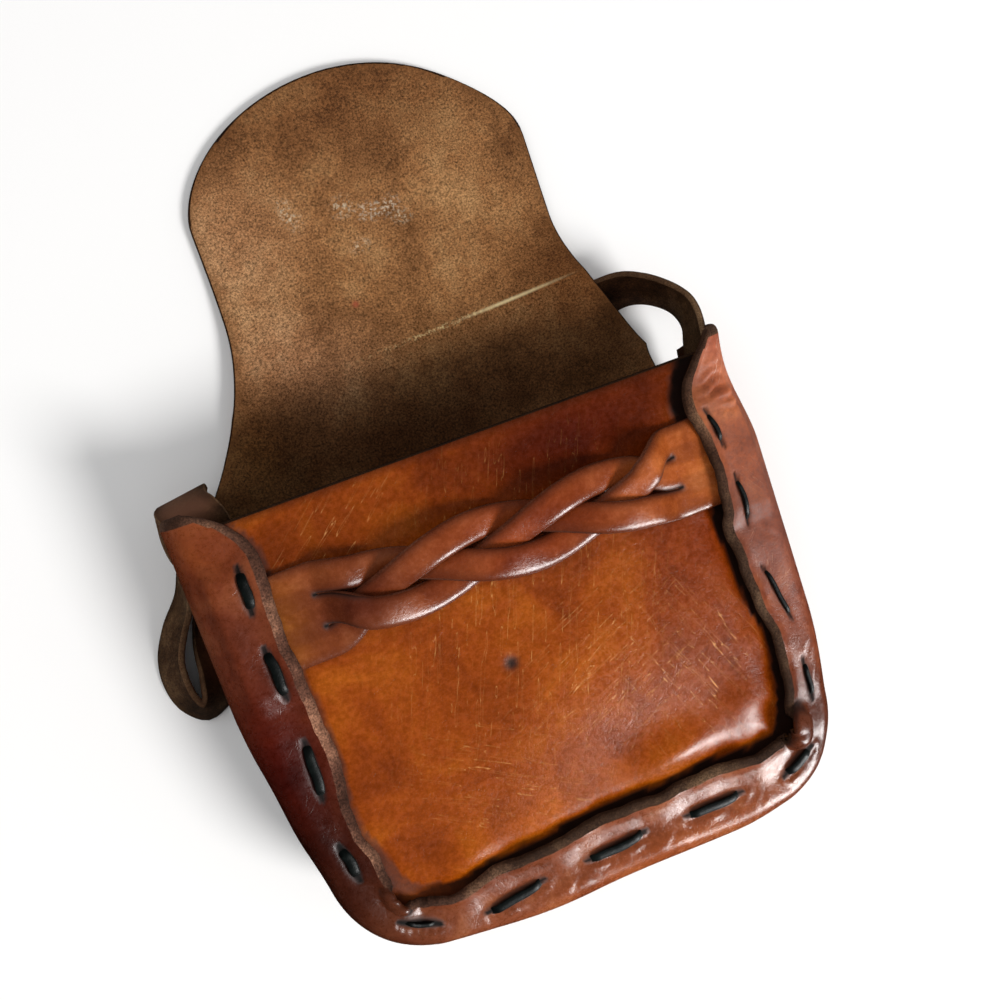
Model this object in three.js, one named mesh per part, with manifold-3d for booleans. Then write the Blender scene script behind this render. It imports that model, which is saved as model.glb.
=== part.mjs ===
// Leather shoulder bag lying on its back with the flap thrown open.
// Millimetres. +X is the bag's right, +Y runs from its bottom to its mouth, +Z is up:
// the back panel is next to the floor and the front panel is on top.
import * as THREE from 'three'
import Module from 'manifold-3d'

const wasm = await Module()
wasm.setup()

// ---- driving dimensions ---------------------------------------------------------------
const leather = 3.2 // thickness of the gusset, the panels and the flap
const seat = 0.3 // clearance between pieces that touch
const lace = { width: 4, thickness: 1.3 }

const body = {
  halfWidth: 125, // middle of the gusset's side wall
  bottom: -128,
  mouth: 88, // top end of the gusset
  cornerRadius: 40,
  height: 60, // top face of the front panel above the floor
}
const panel = { halfWidth: 109.5, bottom: -111, cornerRadius: 30, top: 80, dome: 2.2 }
const flange = { width: 33, bottomExtra: 4, mouthWidth: 7, flareFrom: 58, backFlareFrom: 38 }
const flap = { halfWidth: 76, baseHalfWidth: 104, centre: 2, roundFrom: 192, tip: 244.5 }
const braid = { halfLength: 107, slit: 79, middle: 35.5, strand: 12.5, slitGap: 0.8, thickness: 2.8 }
const strap = { width: 22, thickness: 3 }

// ---- levels ---------------------------------------------------------------------------
const backFlangeUnder = lace.thickness + seat
const backPanelUnder = backFlangeUnder + leather + seat
const frontFlangeUnder = body.height + seat
const frontFlangeTop = frontFlangeUnder + leather

// ---- small helpers --------------------------------------------------------------------
const clamp01 = (t) => Math.min(1, Math.max(0, t))
const smooth = (from, to, x) => {
  const t = clamp01((x - from) / (to - from))
  return t * t * (3 - 2 * t)
}
const bell = (x, reach) => 1 - smooth(0, reach, Math.abs(x))
const mix = (a, b, t) => a + (b - a) * t
const add = (a, b, k = 1) => a.map((value, i) => value + k * b[i])
const cross = (a, b) => [
  a[1] * b[2] - a[2] * b[1],
  a[2] * b[0] - a[0] * b[2],
  a[0] * b[1] - a[1] * b[0],
]
const dot = (a, b) => a[0] * b[0] + a[1] * b[1] + a[2] * b[2]
const unit = (a) => a.map((value) => value / Math.hypot(...a))
const steps = (from, to, count) =>
  Array.from({ length: count + 1 }, (_, i) => mix(from, to, i / count))

// A closed sheet of leather: at(i, j) gives its two faces over a grid of rows and columns.
function sheet(rows, columns, at) {
  const position = []
  const index = []
  for (let i = 0; i < rows; i++) {
    for (let j = 0; j < columns; j++) {
      const { outer, inner } = at(i, j)
      position.push(...outer, ...inner)
    }
  }
  const corner = (i, j, side) => 2 * (i * columns + j) + side
  const quad = (a, b, c, d) => index.push(a, b, c, a, c, d)
  for (let i = 0; i + 1 < rows; i++) {
    for (let j = 0; j + 1 < columns; j++) {
      quad(corner(i, j, 0), corner(i, j + 1, 0), corner(i + 1, j + 1, 0), corner(i + 1, j, 0))
      quad(corner(i, j, 1), corner(i + 1, j, 1), corner(i + 1, j + 1, 1), corner(i, j + 1, 1))
    }
  }
  for (let i = 0; i + 1 < rows; i++) {
    const last = columns - 1
    quad(corner(i, 0, 0), corner(i + 1, 0, 0), corner(i + 1, 0, 1), corner(i, 0, 1))
    quad(corner(i + 1, last, 0), corner(i, last, 0), corner(i, last, 1), corner(i + 1, last, 1))
  }
  for (let j = 0; j + 1 < columns; j++) {
    const last = rows - 1
    quad(corner(0, j + 1, 0), corner(0, j, 0), corner(0, j, 1), corner(0, j + 1, 1))
    quad(corner(last, j, 0), corner(last, j + 1, 0), corner(last, j + 1, 1), corner(last, j, 1))
  }
  const geometry = new THREE.BufferGeometry()
  geometry.setAttribute('position', new THREE.Float32BufferAttribute(position, 3))
  geometry.setIndex(index)
  return geometry
}

// The directions across a strip and out of its face, at one of its stops.
function frameAt(stops, i) {
  const next = stops[Math.min(i + 1, stops.length - 1)].at
  const along = unit(add(next, stops[Math.max(i - 1, 0)].at, -1))
  const lean = stops[i].across
  const across = unit(add(lean, along, -dot(lean, along)))
  return { across, face: cross(across, along) }
}

// A strip along a route: each stop has a centre and the direction across its width.
function strip(stops, width, thickness, columns = 3) {
  return sheet(stops.length, columns, (i, j) => {
    const { across, face } = frameAt(stops, i)
    const sideways = (j / (columns - 1) - 0.5) * width(i)
    const rim = add(stops[i].at, across, sideways)
    return { outer: add(rim, face, thickness / 2), inner: add(rim, face, -thickness / 2) }
  })
}

// Stops set between the rows of a table by a smooth curve.
function route(table, perRow) {
  const places = new THREE.CatmullRomCurve3(
    table.map((row) => new THREE.Vector3(...row.at)), false, 'centripetal')
  const leans = new THREE.CatmullRomCurve3(
    table.map((row) => new THREE.Vector3(...row.across)), false, 'centripetal')
  const count = (table.length - 1) * perRow
  return steps(0, 1, count).map((t) => ({
    at: places.getPoint(t).toArray(),
    across: leans.getPoint(t).toArray(),
  }))
}

const manifoldOf = (geometry) => {
  const vertProperties = new Float32Array(geometry.attributes.position.array)
  const triVerts = new Uint32Array(geometry.index.array)
  return new wasm.Manifold(new wasm.Mesh({ numProp: 3, vertProperties, triVerts }))
}
const geometryOf = (solid) => {
  const mesh = solid.getMesh()
  const geometry = new THREE.BufferGeometry()
  geometry.setAttribute('position', new THREE.BufferAttribute(mesh.vertProperties, 3))
  geometry.setIndex(new THREE.BufferAttribute(mesh.triVerts, 1))
  return geometry
}

// ---- the lace's pull ------------------------------------------------------------------
// The lace draws the body's outline in. Each pull is a direction outwards, how deep it goes,
// the distances along that direction where it starts and is full, and, if it is local, the
// place and reach along the wall.
const pulls = [
  { out: [-0.72, -0.69], depth: 16, from: 95, to: 165 }, // lower left corner
  { out: [0.78, -0.62], depth: 8, from: 120, to: 165 }, // lower right corner
  { out: [1, 0], depth: 1.8, from: 104, to: 120 }, // right wall
  { out: [1, 0], depth: 4.4, from: 104, to: 120, middle: 70, reach: 35 },
  { out: [0, -1], depth: 2.8, from: 106, to: 120, middle: -5, reach: 75 }, // bottom
  { out: [-1, 0], depth: 1.8, from: 106, to: 120, middle: 28, reach: 35 }, // left wall
]
function drawnIn([x, y, z]) {
  let moved = [x, y, z]
  for (const { out, depth, from, to, middle, reach } of pulls) {
    const outward = x * out[0] + y * out[1]
    const sideways = y * out[0] - x * out[1]
    const near = reach ? bell(sideways - middle, reach) : 1
    moved = add(moved, [...out, 0], -depth * near * smooth(from, to, outward))
  }
  return moved
}

// ---- shoulder strap -------------------------------------------------------------------
// One whole loop. From inside the gusset's right end it arcs to the left, dips under the
// flap and the back panel, turns back on itself outside the left wall, folds over the left
// end of the gusset and runs down inside it.
const strapStops = [
  { at: [118.4, 46, 38], across: [0, 0, 1] },
  { at: [118.2, 70, 39], across: [0, 0, 1] },
  { at: [117.8, 84, 40], across: [0, 0.1, 1] },
  { at: [118.4, 92, 37.5], across: [0, 0.4, 0.92] },
  { at: [117.8, 99, 32], across: [-0.1, 0.45, 0.9] },
  { at: [114.4, 106, 25], across: [-0.2, 0.5, 0.85] },
  { at: [107.5, 112, 17], across: [-0.2, 0.55, 0.82] },
  { at: [99, 115, 12], across: [-0.15, 0.65, 0.75] },
  { at: [88, 114, 8], across: [-0.1, 0.8, 0.6] },
  { at: [72, 110, 3.4], across: [-0.1, 0.97, 0.2] },
  { at: [52, 104, 1.5], across: [-0.2, 1, 0] },
  { at: [0, 88, 1.5], across: [-0.25, 1, 0] },
  { at: [-60, 71, 1.5], across: [-0.25, 1, 0] },
  { at: [-100, 57, 1.5], across: [-0.45, 0.9, 0] },
  { at: [-121, 42, 1.5], across: [-0.8, 0.55, 0] },
  { at: [-130, 24, 2], across: [-1, 0.2, 0.05] },
  { at: [-132.5, 9, 4.6], across: [-0.9, 0.1, 0.35] },
  { at: [-137, 1.5, 8.2], across: [-0.3, 0.65, 0.75] },
  { at: [-143, 7, 9.6], across: [0.35, 0.45, 0.8] },
  { at: [-145.5, 18, 9.8], across: [0.55, 0.3, 0.8] },
  { at: [-144, 29, 9.8], across: [0.55, 0.1, 0.8] },
  { at: [-138.5, 40, 9.8], across: [0.45, -0.25, 0.85] },
  { at: [-130.5, 51, 10.2], across: [0.3, -0.2, 0.95] },
  { at: [-126.4, 64, 10.8], across: [0.22, -0.05, 0.97] },
  { at: [-125.4, 76, 11], across: [0.2, -0.05, 0.97] },
  { at: [-125.2, 83, 12], across: [0.2, 0, 0.97] },
  { at: [-123.2, 91.5, 15.5], across: [0.5, 0.2, 0.82] },
  { at: [-114, 93.4, 28], across: [0.93, 0.12, 0.35] },
  { at: [-110.8, 90, 38.5], across: [0.8, 0.1, 0.58] },
  { at: [-113, 81, 42.5], across: [0.45, 0, 0.88] },
  { at: [-117.4, 68, 42], across: [0.1, 0, 1] },
  { at: [-118.2, 50, 41.5], across: [0, 0, 1] },
]
const strapEdge = 0.85 // the ends are a little narrower
const strapRoute = route(strapStops, 3)
strapRoute.forEach((stop, i) => {
  if (stop.at[0] > 0) stop.at = drawnIn(stop.at) // the right end lies against the wall
})
strapRoute.forEach((stop, i) => {
  const { across, face } = frameAt(strapRoute, i)
  const halfHeight = (Math.abs(across[2]) * strap.width + Math.abs(face[2]) * strap.thickness) / 2
  stop.at[2] = Math.max(stop.at[2], halfHeight) // none of it is lower than the floor
})
const strapWidth = (i) => {
  const fromEnd = Math.min(i, strapRoute.length - 1 - i)
  return strap.width * mix(strapEdge, 1, smooth(0, 6, fromEnd))
}

// Leather that lies over the strap is lifted off the floor by it.
const crossing = { x: -108, y: 50, reach: 38, inner: -60, full: -77 }
const underStrap = (x, y, spread = 0) => {
  const along = crossing.y + 0.55 * (x - crossing.x)
  const height = strap.thickness + seat // the lace lies between the strap and the flange
  const near = 1 - smooth(17 + spread, crossing.reach + spread, Math.abs(y - along))
  return height * near * smooth(crossing.inner, crossing.full, x)
}
const arch = { x: 88, y: 116, reach: 44, lift: 14 }
const overArch = (x, y) => arch.lift * bell(Math.hypot(x - arch.x, y - arch.y), arch.reach)

// ---- gusset ---------------------------------------------------------------------------
// The line that the middle of the gusset's wall follows, from the left end round to the right.
const straight = {
  side: body.mouth - body.bottom - body.cornerRadius,
  bottom: 2 * (body.halfWidth - body.cornerRadius),
  arc: (Math.PI / 2) * body.cornerRadius,
}
const wallLength = 2 * straight.side + straight.bottom + 2 * straight.arc
function wallPlace(s) {
  const half = wallLength / 2
  const d = Math.abs(s - half)
  const right = s < half ? -1 : 1
  const flat = straight.bottom / 2
  if (d <= flat) return { x: right * d, y: body.bottom, out: [0, -1] }
  const r = body.cornerRadius
  if (d <= flat + straight.arc) {
    const turn = (d - flat) / r
    const x = right * (flat + r * Math.sin(turn))
    const y = body.bottom + r - r * Math.cos(turn)
    return { x, y, out: [right * Math.sin(turn), -Math.cos(turn)] }
  }
  const y = body.bottom + r + (d - flat - straight.arc)
  return { x: right * body.halfWidth, y, out: [right, 0] }
}

// The gusset's outer face from the front raw edge to the back one: how far it lies inside
// the wall line, as a part of the flange's width where inward > 1, and its level.
const wallProfile = [
  { inward: 33, level: frontFlangeTop },
  { inward: 24, level: frontFlangeTop + 0.3 },
  { inward: 15, level: frontFlangeTop },
  { inward: 8.5, level: 61.7 },
  { inward: 3.8, level: 57 },
  { inward: 1, level: 48 },
  { inward: 0, level: 38 },
  { inward: 0, level: 30 },
  { inward: 0.5, level: 24 },
  { inward: 1.4, level: 14 },
  { inward: 3.8, level: 8 },
  { inward: 8.5, level: 3.3 },
  { inward: 15, level: backFlangeUnder },
  { inward: 24, level: backFlangeUnder },
  { inward: 33, level: backFlangeUnder },
]
const bend = 8.5 // how far inward the flange's flat part begins
const wallMiddle = 34 // level where the front half meets the back half
const mouthSlant = 8 // the right end is cut back towards the floor

// Where each visible stitch of the lace goes in and out.
const stitches = [
  { name: 'middle', from: [-12, -105], to: [15.5, -104] },
  { name: 'left_1', from: [-58, -107.5], to: [-32, -104.5] },
  { name: 'left_2', from: [-92, -95], to: [-78, -103] },
  { name: 'left_3', from: [-101, -71.5], to: [-103.5, -56] },
  { name: 'left_4', from: [-103, -35], to: [-101.5, -11] },
  { name: 'left_5', from: [-101.5, 8.5], to: [-102.5, 29.5] },
  { name: 'left_6', from: [-102, 44.5], to: [-101, 62] },
  { name: 'right_1', from: [35, -105.5], to: [61.5, -106] },
  { name: 'right_2', from: [83, -107.5], to: [98, -100] },
  { name: 'right_3', from: [106, -80], to: [107, -62] },
  { name: 'right_4', from: [107.5, -42], to: [102, -16.5] },
  { name: 'right_5', from: [101.5, 4], to: [101, 25.5] },
  { name: 'right_6', from: [100, 40], to: [97, 56] },
]

function flangeWidth(s, face) {
  const { y, out } = wallPlace(s)
  const level = flange.width + flange.bottomExtra * smooth(0.3, 1, -out[1])
  const wave = 1.1 * Math.sin((2 * Math.PI * (s - wallLength / 2)) / 42)
  const up = clamp01((y - flange.flareFrom) / (body.mouth - flange.flareFrom))
  const flare = face === 'front' ? Math.sqrt(1 - up * up) : smooth(72, flange.backFlareFrom, y)
  return flange.mouthWidth + (level + wave - flange.mouthWidth) * flare
}

const braidBump = (y) => 1 - smooth(23, 33, Math.abs(y - braid.middle))
const knots = [
  { s: wallLength / 2 - 116, lift: 2.5, reach: 20 },
  { s: wallLength / 2 + 120, lift: 4, reach: 22 },
]
const squeeze = { depth: 8, from: 40, to: 62 } // the left wall's back half gives way to the strap

function gussetFace(s, row) {
  const { x, y, out } = wallPlace(s)
  const base = wallProfile[row]
  const width = flangeWidth(s, base.level > wallMiddle ? 'front' : 'back')
  const turn = Math.min(bend, 0.75 * width)
  const flat = (base.inward - bend) / (flange.width - bend)
  const reach = flat > 0 ? mix(turn, width, flat) : base.inward * (turn / bend)
  const pinch = out[0] < 0 ? squeeze.depth * smooth(squeeze.from, squeeze.to, y) : 0
  const inward = reach + pinch * smooth(29, 25, base.level) * smooth(4, 14, base.level)
  const cutBack = out[0] > 0 ? mouthSlant * smooth(60, body.mouth, y) * smooth(48, 8, base.level) : 0
  const [px, py] = drawnIn([x - out[0] * inward, y - out[1] * inward - cutBack, 0])
  let lift = 0
  if (base.level > body.height) {
    lift += (braid.thickness + 0.4) * braidBump(y) * Math.abs(out[0]) * smooth(6, 12, inward)
    for (const knot of knots) lift += knot.lift * bell(s - knot.s, knot.reach) * smooth(12, 24, inward)
  }
  lift += smooth(12, 5, base.level) * underStrap(px, y)
  return [px, py, base.level + lift]
}

function gussetGeometry() {
  const rows = []
  const tops = [0, 1.5, 4, 8, 13, 20, 28, 36, 46, 56, 64, 72]
  tops.forEach((s) => rows.push(s))
  const middle = steps(82, wallLength - 82, 54)
  rows.push(...middle)
  tops.slice().reverse().forEach((s) => rows.push(wallLength - s))
  const last = wallProfile.length - 1
  return sheet(rows.length, wallProfile.length, (i, j) => {
    const outer = gussetFace(rows[i], j)
    const before = gussetFace(rows[i], Math.max(j - 1, 0))
    const after = gussetFace(rows[i], Math.min(j + 1, last))
    const ahead = wallPlace(Math.min(rows[i] + 0.5, wallLength))
    const behind = wallPlace(Math.max(rows[i] - 0.5, 0))
    const along = unit(add(drawnIn([ahead.x, ahead.y, 0]), drawnIn([behind.x, behind.y, 0]), -1))
    const down = unit(add(after, before, -1))
    const normal = unit(cross(down, along))
    return { outer, inner: add(outer, normal, -leather) }
  })
}

// ---- panels ---------------------------------------------------------------------------
function roundedHalfWidth(y, half, bottom, radius) {
  const up = y - bottom
  if (up >= radius) return half
  const rise = radius - up
  return half - radius + Math.sqrt(Math.max(0, radius * radius - rise * rise))
}
const cornerRows = (bottom, radius) =>
  [0, 0.1, 0.25, 0.42, 0.6, 0.8, 1].map((t) => bottom + radius * t * t)

function frontPanelGeometry() {
  const rows = cornerRows(panel.bottom, panel.cornerRadius)
  rows.push(...steps(-66, panel.top, 9))
  const columns = steps(-1, 1, 12)
  return sheet(rows.length, columns.length, (i, j) => {
    const y = rows[i]
    const half = roundedHalfWidth(y, panel.halfWidth, panel.bottom, panel.cornerRadius)
    const x = half * columns[j]
    const round = bell(x, 88) * bell(y + 38, 50)
    const top = body.height + panel.dome * round
    return { outer: drawnIn([x, y, top]), inner: drawnIn([x, y, top - leather]) }
  })
}

// Half-width of the back panel and flap, from the bottom to the flap's tip.
function backHalfWidth(y) {
  if (y <= 70) return roundedHalfWidth(y, panel.halfWidth, panel.bottom, panel.cornerRadius)
  if (y <= body.mouth) return mix(panel.halfWidth, flap.baseHalfWidth - 3, smooth(68, body.mouth, y))
  if (y <= flap.roundFrom) {
    const up = clamp01((y - body.mouth) / (152 - body.mouth))
    return mix(flap.baseHalfWidth - 3, flap.halfWidth, 1 - (1 - up) ** 2)
  }
  const round = (y - flap.roundFrom) / (flap.tip - flap.roundFrom)
  return flap.halfWidth * Math.sqrt(Math.max(0.004, 1 - round ** 2.1))
}
const flapDroop = (y) => smooth(122, 178, y)

function backPanelFlapGeometry() {
  const rows = cornerRows(panel.bottom, panel.cornerRadius)
  rows.push(...steps(-66, 66, 12), 72, 78, 84, 90)
  rows.push(...steps(98, flap.roundFrom, 12))
  const round = flap.tip - flap.roundFrom
  rows.push(...[0.3, 0.52, 0.7, 0.83, 0.92, 0.97, 1].map((t) => flap.roundFrom + t * round))
  const columns = steps(-1, 1, 14)
  return sheet(rows.length, columns.length, (i, j) => {
    const y = rows[i]
    const x = flap.centre * smooth(90, 140, y) + backHalfWidth(y) * columns[j]
    const rest = mix(backPanelUnder, 0, flapDroop(y))
    const under = rest + 1.1 * underStrap(x, y, 6) + overArch(x, y)
    return { outer: drawnIn([x, y, under + leather]), inner: drawnIn([x, y, under]) }
  })
}

// ---- braid ----------------------------------------------------------------------------
// One strip with two slits whose three strands cross six times.
const weave = { sway: 11, rise: 5.2, narrow: 10.4 }
const braidFlat = body.height + seat + 0.1 + braid.thickness / 2
const braidCentre = body.height + seat + weave.rise + braid.thickness / 2 + 0.2
const slot = braid.strand + braid.slitGap

function strandStop(strand, u) {
  const turn = 2 * Math.PI * (u - 1 / 12)
  const phase = [0, (2 * Math.PI) / 3, (-2 * Math.PI) / 3][strand]
  const end = Math.min(u, 1 - u)
  const rising = smooth(0, 0.06, end)
  const swaying = smooth(0.02, 0.13, end)
  const flatPlace = slot * (1 - strand)
  const sideways = mix(flatPlace, weave.sway * Math.cos(turn + phase), swaying)
  const height = weave.rise * -Math.sin(2 * (turn + phase))
  return {
    at: [
      mix(-braid.slit, braid.slit, u),
      braid.middle + sideways,
      mix(braidFlat, braidCentre + height, rising),
    ],
    across: [0, 1, 0],
    width: mix(braid.strand, weave.narrow, swaying),
  }
}

function braidGeometry() {
  const count = 42
  const pieces = [0, 1, 2].map((strand) => {
    const stops = steps(0, 1, count).map((u) => strandStop(strand, u))
    const lead = 1.5 // each strand starts inside the uncut end
    const first = stops[0]
    const last = stops[count]
    stops.unshift({ ...first, at: add(first.at, [-lead, 0, 0]) })
    stops.push({ ...last, at: add(last.at, [lead, 0, 0]) })
    return manifoldOf(strip(stops, (i) => stops[i].width, braid.thickness))
  })
  const endLength = braid.halfLength - braid.slit
  const width = 3 * braid.strand + 2 * braid.slitGap + 0.4
  const thickness = braid.thickness + 0.2
  for (const side of [-1, 1]) {
    const solid = wasm.Manifold.cube([endLength, width, thickness], true)
    pieces.push(solid.translate([
      side * (braid.slit + endLength / 2), braid.middle, braidFlat]))
  }
  return geometryOf(wasm.Manifold.union(pieces))
}

// ---- lace stitches --------------------------------------------------------------------
// Each visible bight of lace lies on the flange between two slits.
const flangeRows = { front: [0, 1, 2, 3], back: [11, 12, 13, 14] }
function flangeLevel(face, x, y) {
  let nearest = { gap: Infinity }
  for (const s of steps(0, wallLength, 400)) {
    const points = flangeRows[face].map((row) => gussetFace(s, row))
    points.slice(1).forEach((point, i) => {
      for (const share of [0, 0.25, 0.5, 0.75, 1]) {
        const [px, py, level] = point.map((value, axis) => mix(points[i][axis], value, share))
        const gap = Math.hypot(px - x, py - y)
        if (gap < nearest.gap) nearest = { gap, level }
      }
    })
  }
  return nearest.level
}

function stitchGeometry({ from, to }, face) {
  const outwards = face === 'front' ? 1 : -1
  const slack = face === 'front' ? 0.35 : 0 // room over the flange's waves
  const clear = seat + lace.thickness / 2 + slack
  const along = unit(add(to, from, -1))
  const out = [along[1], -along[0], 0]
  const stops = steps(0, 1, 4).map((t) => {
    const [x, y] = from.map((value, axis) => mix(value, to[axis], t))
    const levels = [-1, 0, 1].map((side) => {
      const aside = (side * lace.width) / 2
      return outwards * flangeLevel(face, x + out[0] * aside, y + out[1] * aside)
    })
    return { at: [x, y, outwards * (Math.max(...levels) + clear)], across: out }
  })
  return strip(stops, () => lace.width, lace.thickness, 2)
}

// ---- materials ------------------------------------------------------------------------
const matter = (color, roughness) => () =>
  new THREE.MeshStandardMaterial({ color, roughness, metalness: 0 })
const tanLeather = matter('#a85f22', 0.45)
const gussetLeather = matter('#8a4426', 0.45)
const fleshLeather = matter('#6f5230', 0.85)
const braidLeather = matter('#9a4f2a', 0.45)
const strapLeather = matter('#6b4a36', 0.7)
const blackLace = matter('#15191a', 0.55)

// ---- the bag --------------------------------------------------------------------------
const pieces = new THREE.Group()
const addPiece = (name, geometry, material) => {
  const mesh = new THREE.Mesh(geometry, material())
  mesh.name = name
  pieces.add(mesh)
}

addPiece('front_panel', frontPanelGeometry(), tanLeather)
addPiece('back_panel_flap', backPanelFlapGeometry(), fleshLeather)
addPiece('gusset', gussetGeometry(), gussetLeather)
addPiece('front_braid', braidGeometry(), braidLeather)
addPiece('shoulder_strap', strip(strapRoute, strapWidth, strap.thickness), strapLeather)
for (const face of ['front', 'back']) {
  for (const stitch of stitches) {
    addPiece(`lace_${face}_${stitch.name}`, stitchGeometry(stitch, face), blackLace)
  }
}

// The origin is on the floor, under the middle of the bag's bounding box.
const box = new THREE.Box3().setFromObject(pieces)
const middle = box.getCenter(new THREE.Vector3())
pieces.position.set(-middle.x, -middle.y, -box.min.z)
const bag = new THREE.Group()
bag.add(pieces)

export default bag
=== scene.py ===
# %% [markdown]
# # A laced leather shoulder bag
# The real bag is cut from thick vegetable-tanned leather: a front panel, a back panel that runs
# on into the flap, one strip that forms the sides and bottom (the gusset), a braided strip and a
# shoulder strap, all sewn with black leather lace. It lies on its back with the flap thrown open.
# Here every piece of leather is a closed sheet with two faces and a rounded raw edge, because
# that is what light shows on thick leather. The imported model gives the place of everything, and
# formulas give the shapes, so that a size can be changed in one place.

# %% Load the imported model
import math

import bmesh
import bpy
import numpy as np
from mathutils import Matrix, Vector


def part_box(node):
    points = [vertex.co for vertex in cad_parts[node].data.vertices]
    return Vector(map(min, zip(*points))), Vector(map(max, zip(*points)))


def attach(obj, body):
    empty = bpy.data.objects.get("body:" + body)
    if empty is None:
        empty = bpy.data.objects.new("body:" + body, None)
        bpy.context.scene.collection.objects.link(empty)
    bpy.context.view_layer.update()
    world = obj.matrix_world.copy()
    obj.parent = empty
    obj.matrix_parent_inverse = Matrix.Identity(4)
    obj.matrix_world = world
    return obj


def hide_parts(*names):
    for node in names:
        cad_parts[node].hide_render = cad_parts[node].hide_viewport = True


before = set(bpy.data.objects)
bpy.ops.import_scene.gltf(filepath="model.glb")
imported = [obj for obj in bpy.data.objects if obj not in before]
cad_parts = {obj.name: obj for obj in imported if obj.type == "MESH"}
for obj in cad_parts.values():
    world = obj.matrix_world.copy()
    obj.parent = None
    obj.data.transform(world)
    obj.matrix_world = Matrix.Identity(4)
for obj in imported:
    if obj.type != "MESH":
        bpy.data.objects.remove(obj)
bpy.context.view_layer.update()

# %% [markdown]
# The bag is described in its own millimetres: x from its middle to its right, y up to its mouth,
# z up from the floor. The front panel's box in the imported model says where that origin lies.
# Metres would do as well, but leather is cut and described in millimetres.

# %% Bag coordinates
MM = 0.001
BODY = {"half_width": 125.0, "bottom": -128.0, "mouth": 88.0, "corner": 40.0, "height": 60.0}
LEATHER = 3.2
SEAT = 0.3
LACE = {"width": 4.0, "thickness": 1.3}
PANEL = {"half_width": 109.5, "bottom": -111.0, "corner": 30.0, "top": 80.0, "dome": 2.2}

panel_low, panel_high = (np.array(corner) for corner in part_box("front_panel"))
bag_origin = np.array([
    panel_low[0] + PANEL["half_width"] * MM,
    panel_high[1] - PANEL["top"] * MM,
    0.0,
])


def placed(points):
    """Bag millimetres to the frame's metres."""
    return np.asarray(points, float) * MM + bag_origin


print("bag origin", bag_origin)

# %% [markdown]
# The camera looks almost straight down, a little from the bag's left and from beyond its mouth,
# and is rolled so that the flap points up and to the left. The floor is one plain pale sheet.

# %% Camera and floor
CAMERA = {  # the eye in bag mm, and the picture's right and the view's direction as unit vectors
    "eye": (-72.7, 105.8, 451.4),
    "right": (0.9183, -0.3256, 0.2252),
    "forward": (0.1898, -0.1371, -0.9722),
    "lens_mm": 36.0,
    "sensor_mm": 36.0,
}
camera_data = bpy.data.cameras.new("camera")
camera_data.lens = CAMERA["lens_mm"]
camera_data.sensor_width = CAMERA["sensor_mm"]
camera_data.clip_start = 0.01
camera = bpy.data.objects.new("camera", camera_data)
forward = Vector(CAMERA["forward"]).normalized()
right = Vector(CAMERA["right"])
right = (right - forward * right.dot(forward)).normalized()
turn = Matrix((right, right.cross(forward), -forward)).transposed()
camera.matrix_world = Matrix.Translation(placed(CAMERA["eye"])) @ turn.to_4x4()
bpy.context.scene.collection.objects.link(camera)
bpy.context.scene.camera = camera

FLOOR_REACH = 3.0  # metres
floor_mesh = bpy.data.meshes.new("floor")
floor_mesh.from_pydata(
    [(x * FLOOR_REACH, y * FLOOR_REACH, 0.0) for x, y in ((-1, -1), (1, -1), (1, 1), (-1, 1))],
    [], [(0, 1, 2, 3)])
floor = bpy.data.objects.new("floor", floor_mesh)
bpy.context.scene.collection.objects.link(floor)
floor.visible_glossy = False
print("camera at", tuple(camera.location))

# %% [markdown]
# Materials are built from nodes. One function adds any node with its settings and links, and one
# turns the sRGB hex colours that people read off a swatch into the linear numbers shaders use.
# The same trees could be drawn by hand in the node editor, but a script can be read and rerun.

# %% Node and colour helpers


def linear(hex_colour):
    """A hex sRGB colour as linear red, green, blue and alpha."""
    channels = [int(hex_colour[i:i + 2], 16) / 255 for i in (1, 3, 5)]
    return tuple(c / 12.92 if c <= 0.04045 else ((c + 0.055) / 1.055) ** 2.4 for c in channels) + (1.0,)


def add_node(tree, kind, inputs=None, stops=None, **settings):
    """A new node; an input that is a socket is linked, any other is set; stops fill a ramp."""
    made = tree.nodes.new(kind)
    for name, value in settings.items():
        setattr(made, name, value)
    if stops:
        ramp = made.color_ramp
        while len(ramp.elements) < len(stops):
            ramp.elements.new(0.5)
        for element, (place, value) in zip(ramp.elements, stops):
            element.position = place
            element.color = linear(value) if isinstance(value, str) else (value, value, value, 1.0)
    for key, value in (inputs or {}).items():
        socket = made.inputs[key]
        if isinstance(value, bpy.types.NodeSocket):
            tree.links.new(value, socket)
        else:
            socket.default_value = value
    return made


def per_mm(size):
    """The texture scale, for coordinates in metres, whose features are this many mm."""
    return 1000.0 / size


print("mid grey is", round(linear("#808080")[0], 3), "in linear light")

# %% [markdown]
# Leather ages in places: it darkens where it is handled, and scuffs where it rubs. A tint
# multiplies the colour near a place on the bag; several tints paint shade and sheen there instead.
# A mark mixes in a colour there, broken up by a pattern of specks or of fine hairs along an angle.
# A painted image could say the same, but it would tie the leather to one size; places and reaches
# in bag millimetres do not.

# %% Tints and marks
MARKED_HEIGHT = 40  # the height that tints and marks are centred on; most have no limit in height
NO_LIMIT = 1.0  # metres
SPECK_MM = 1.6
HAIR_MM = (26, 1.7, 9.0)  # how long, wide and deep the noise is stretched that draws hairlines


def local_vector(tree, place, centre, reach, angle=0.0):
    """Coordinates that run from -1 to 1 across an area of the bag, turned by the angle."""
    return add_node(tree, "ShaderNodeMapping", {
        "Vector": place, "Location": tuple(placed((*centre, MARKED_HEIGHT))),
        "Rotation": (0, 0, angle),
        "Scale": (reach[0] * MM, reach[1] * MM, reach[2] * MM if len(reach) > 2 else NO_LIMIT)},
        vector_type="TEXTURE").outputs["Vector"]


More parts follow.
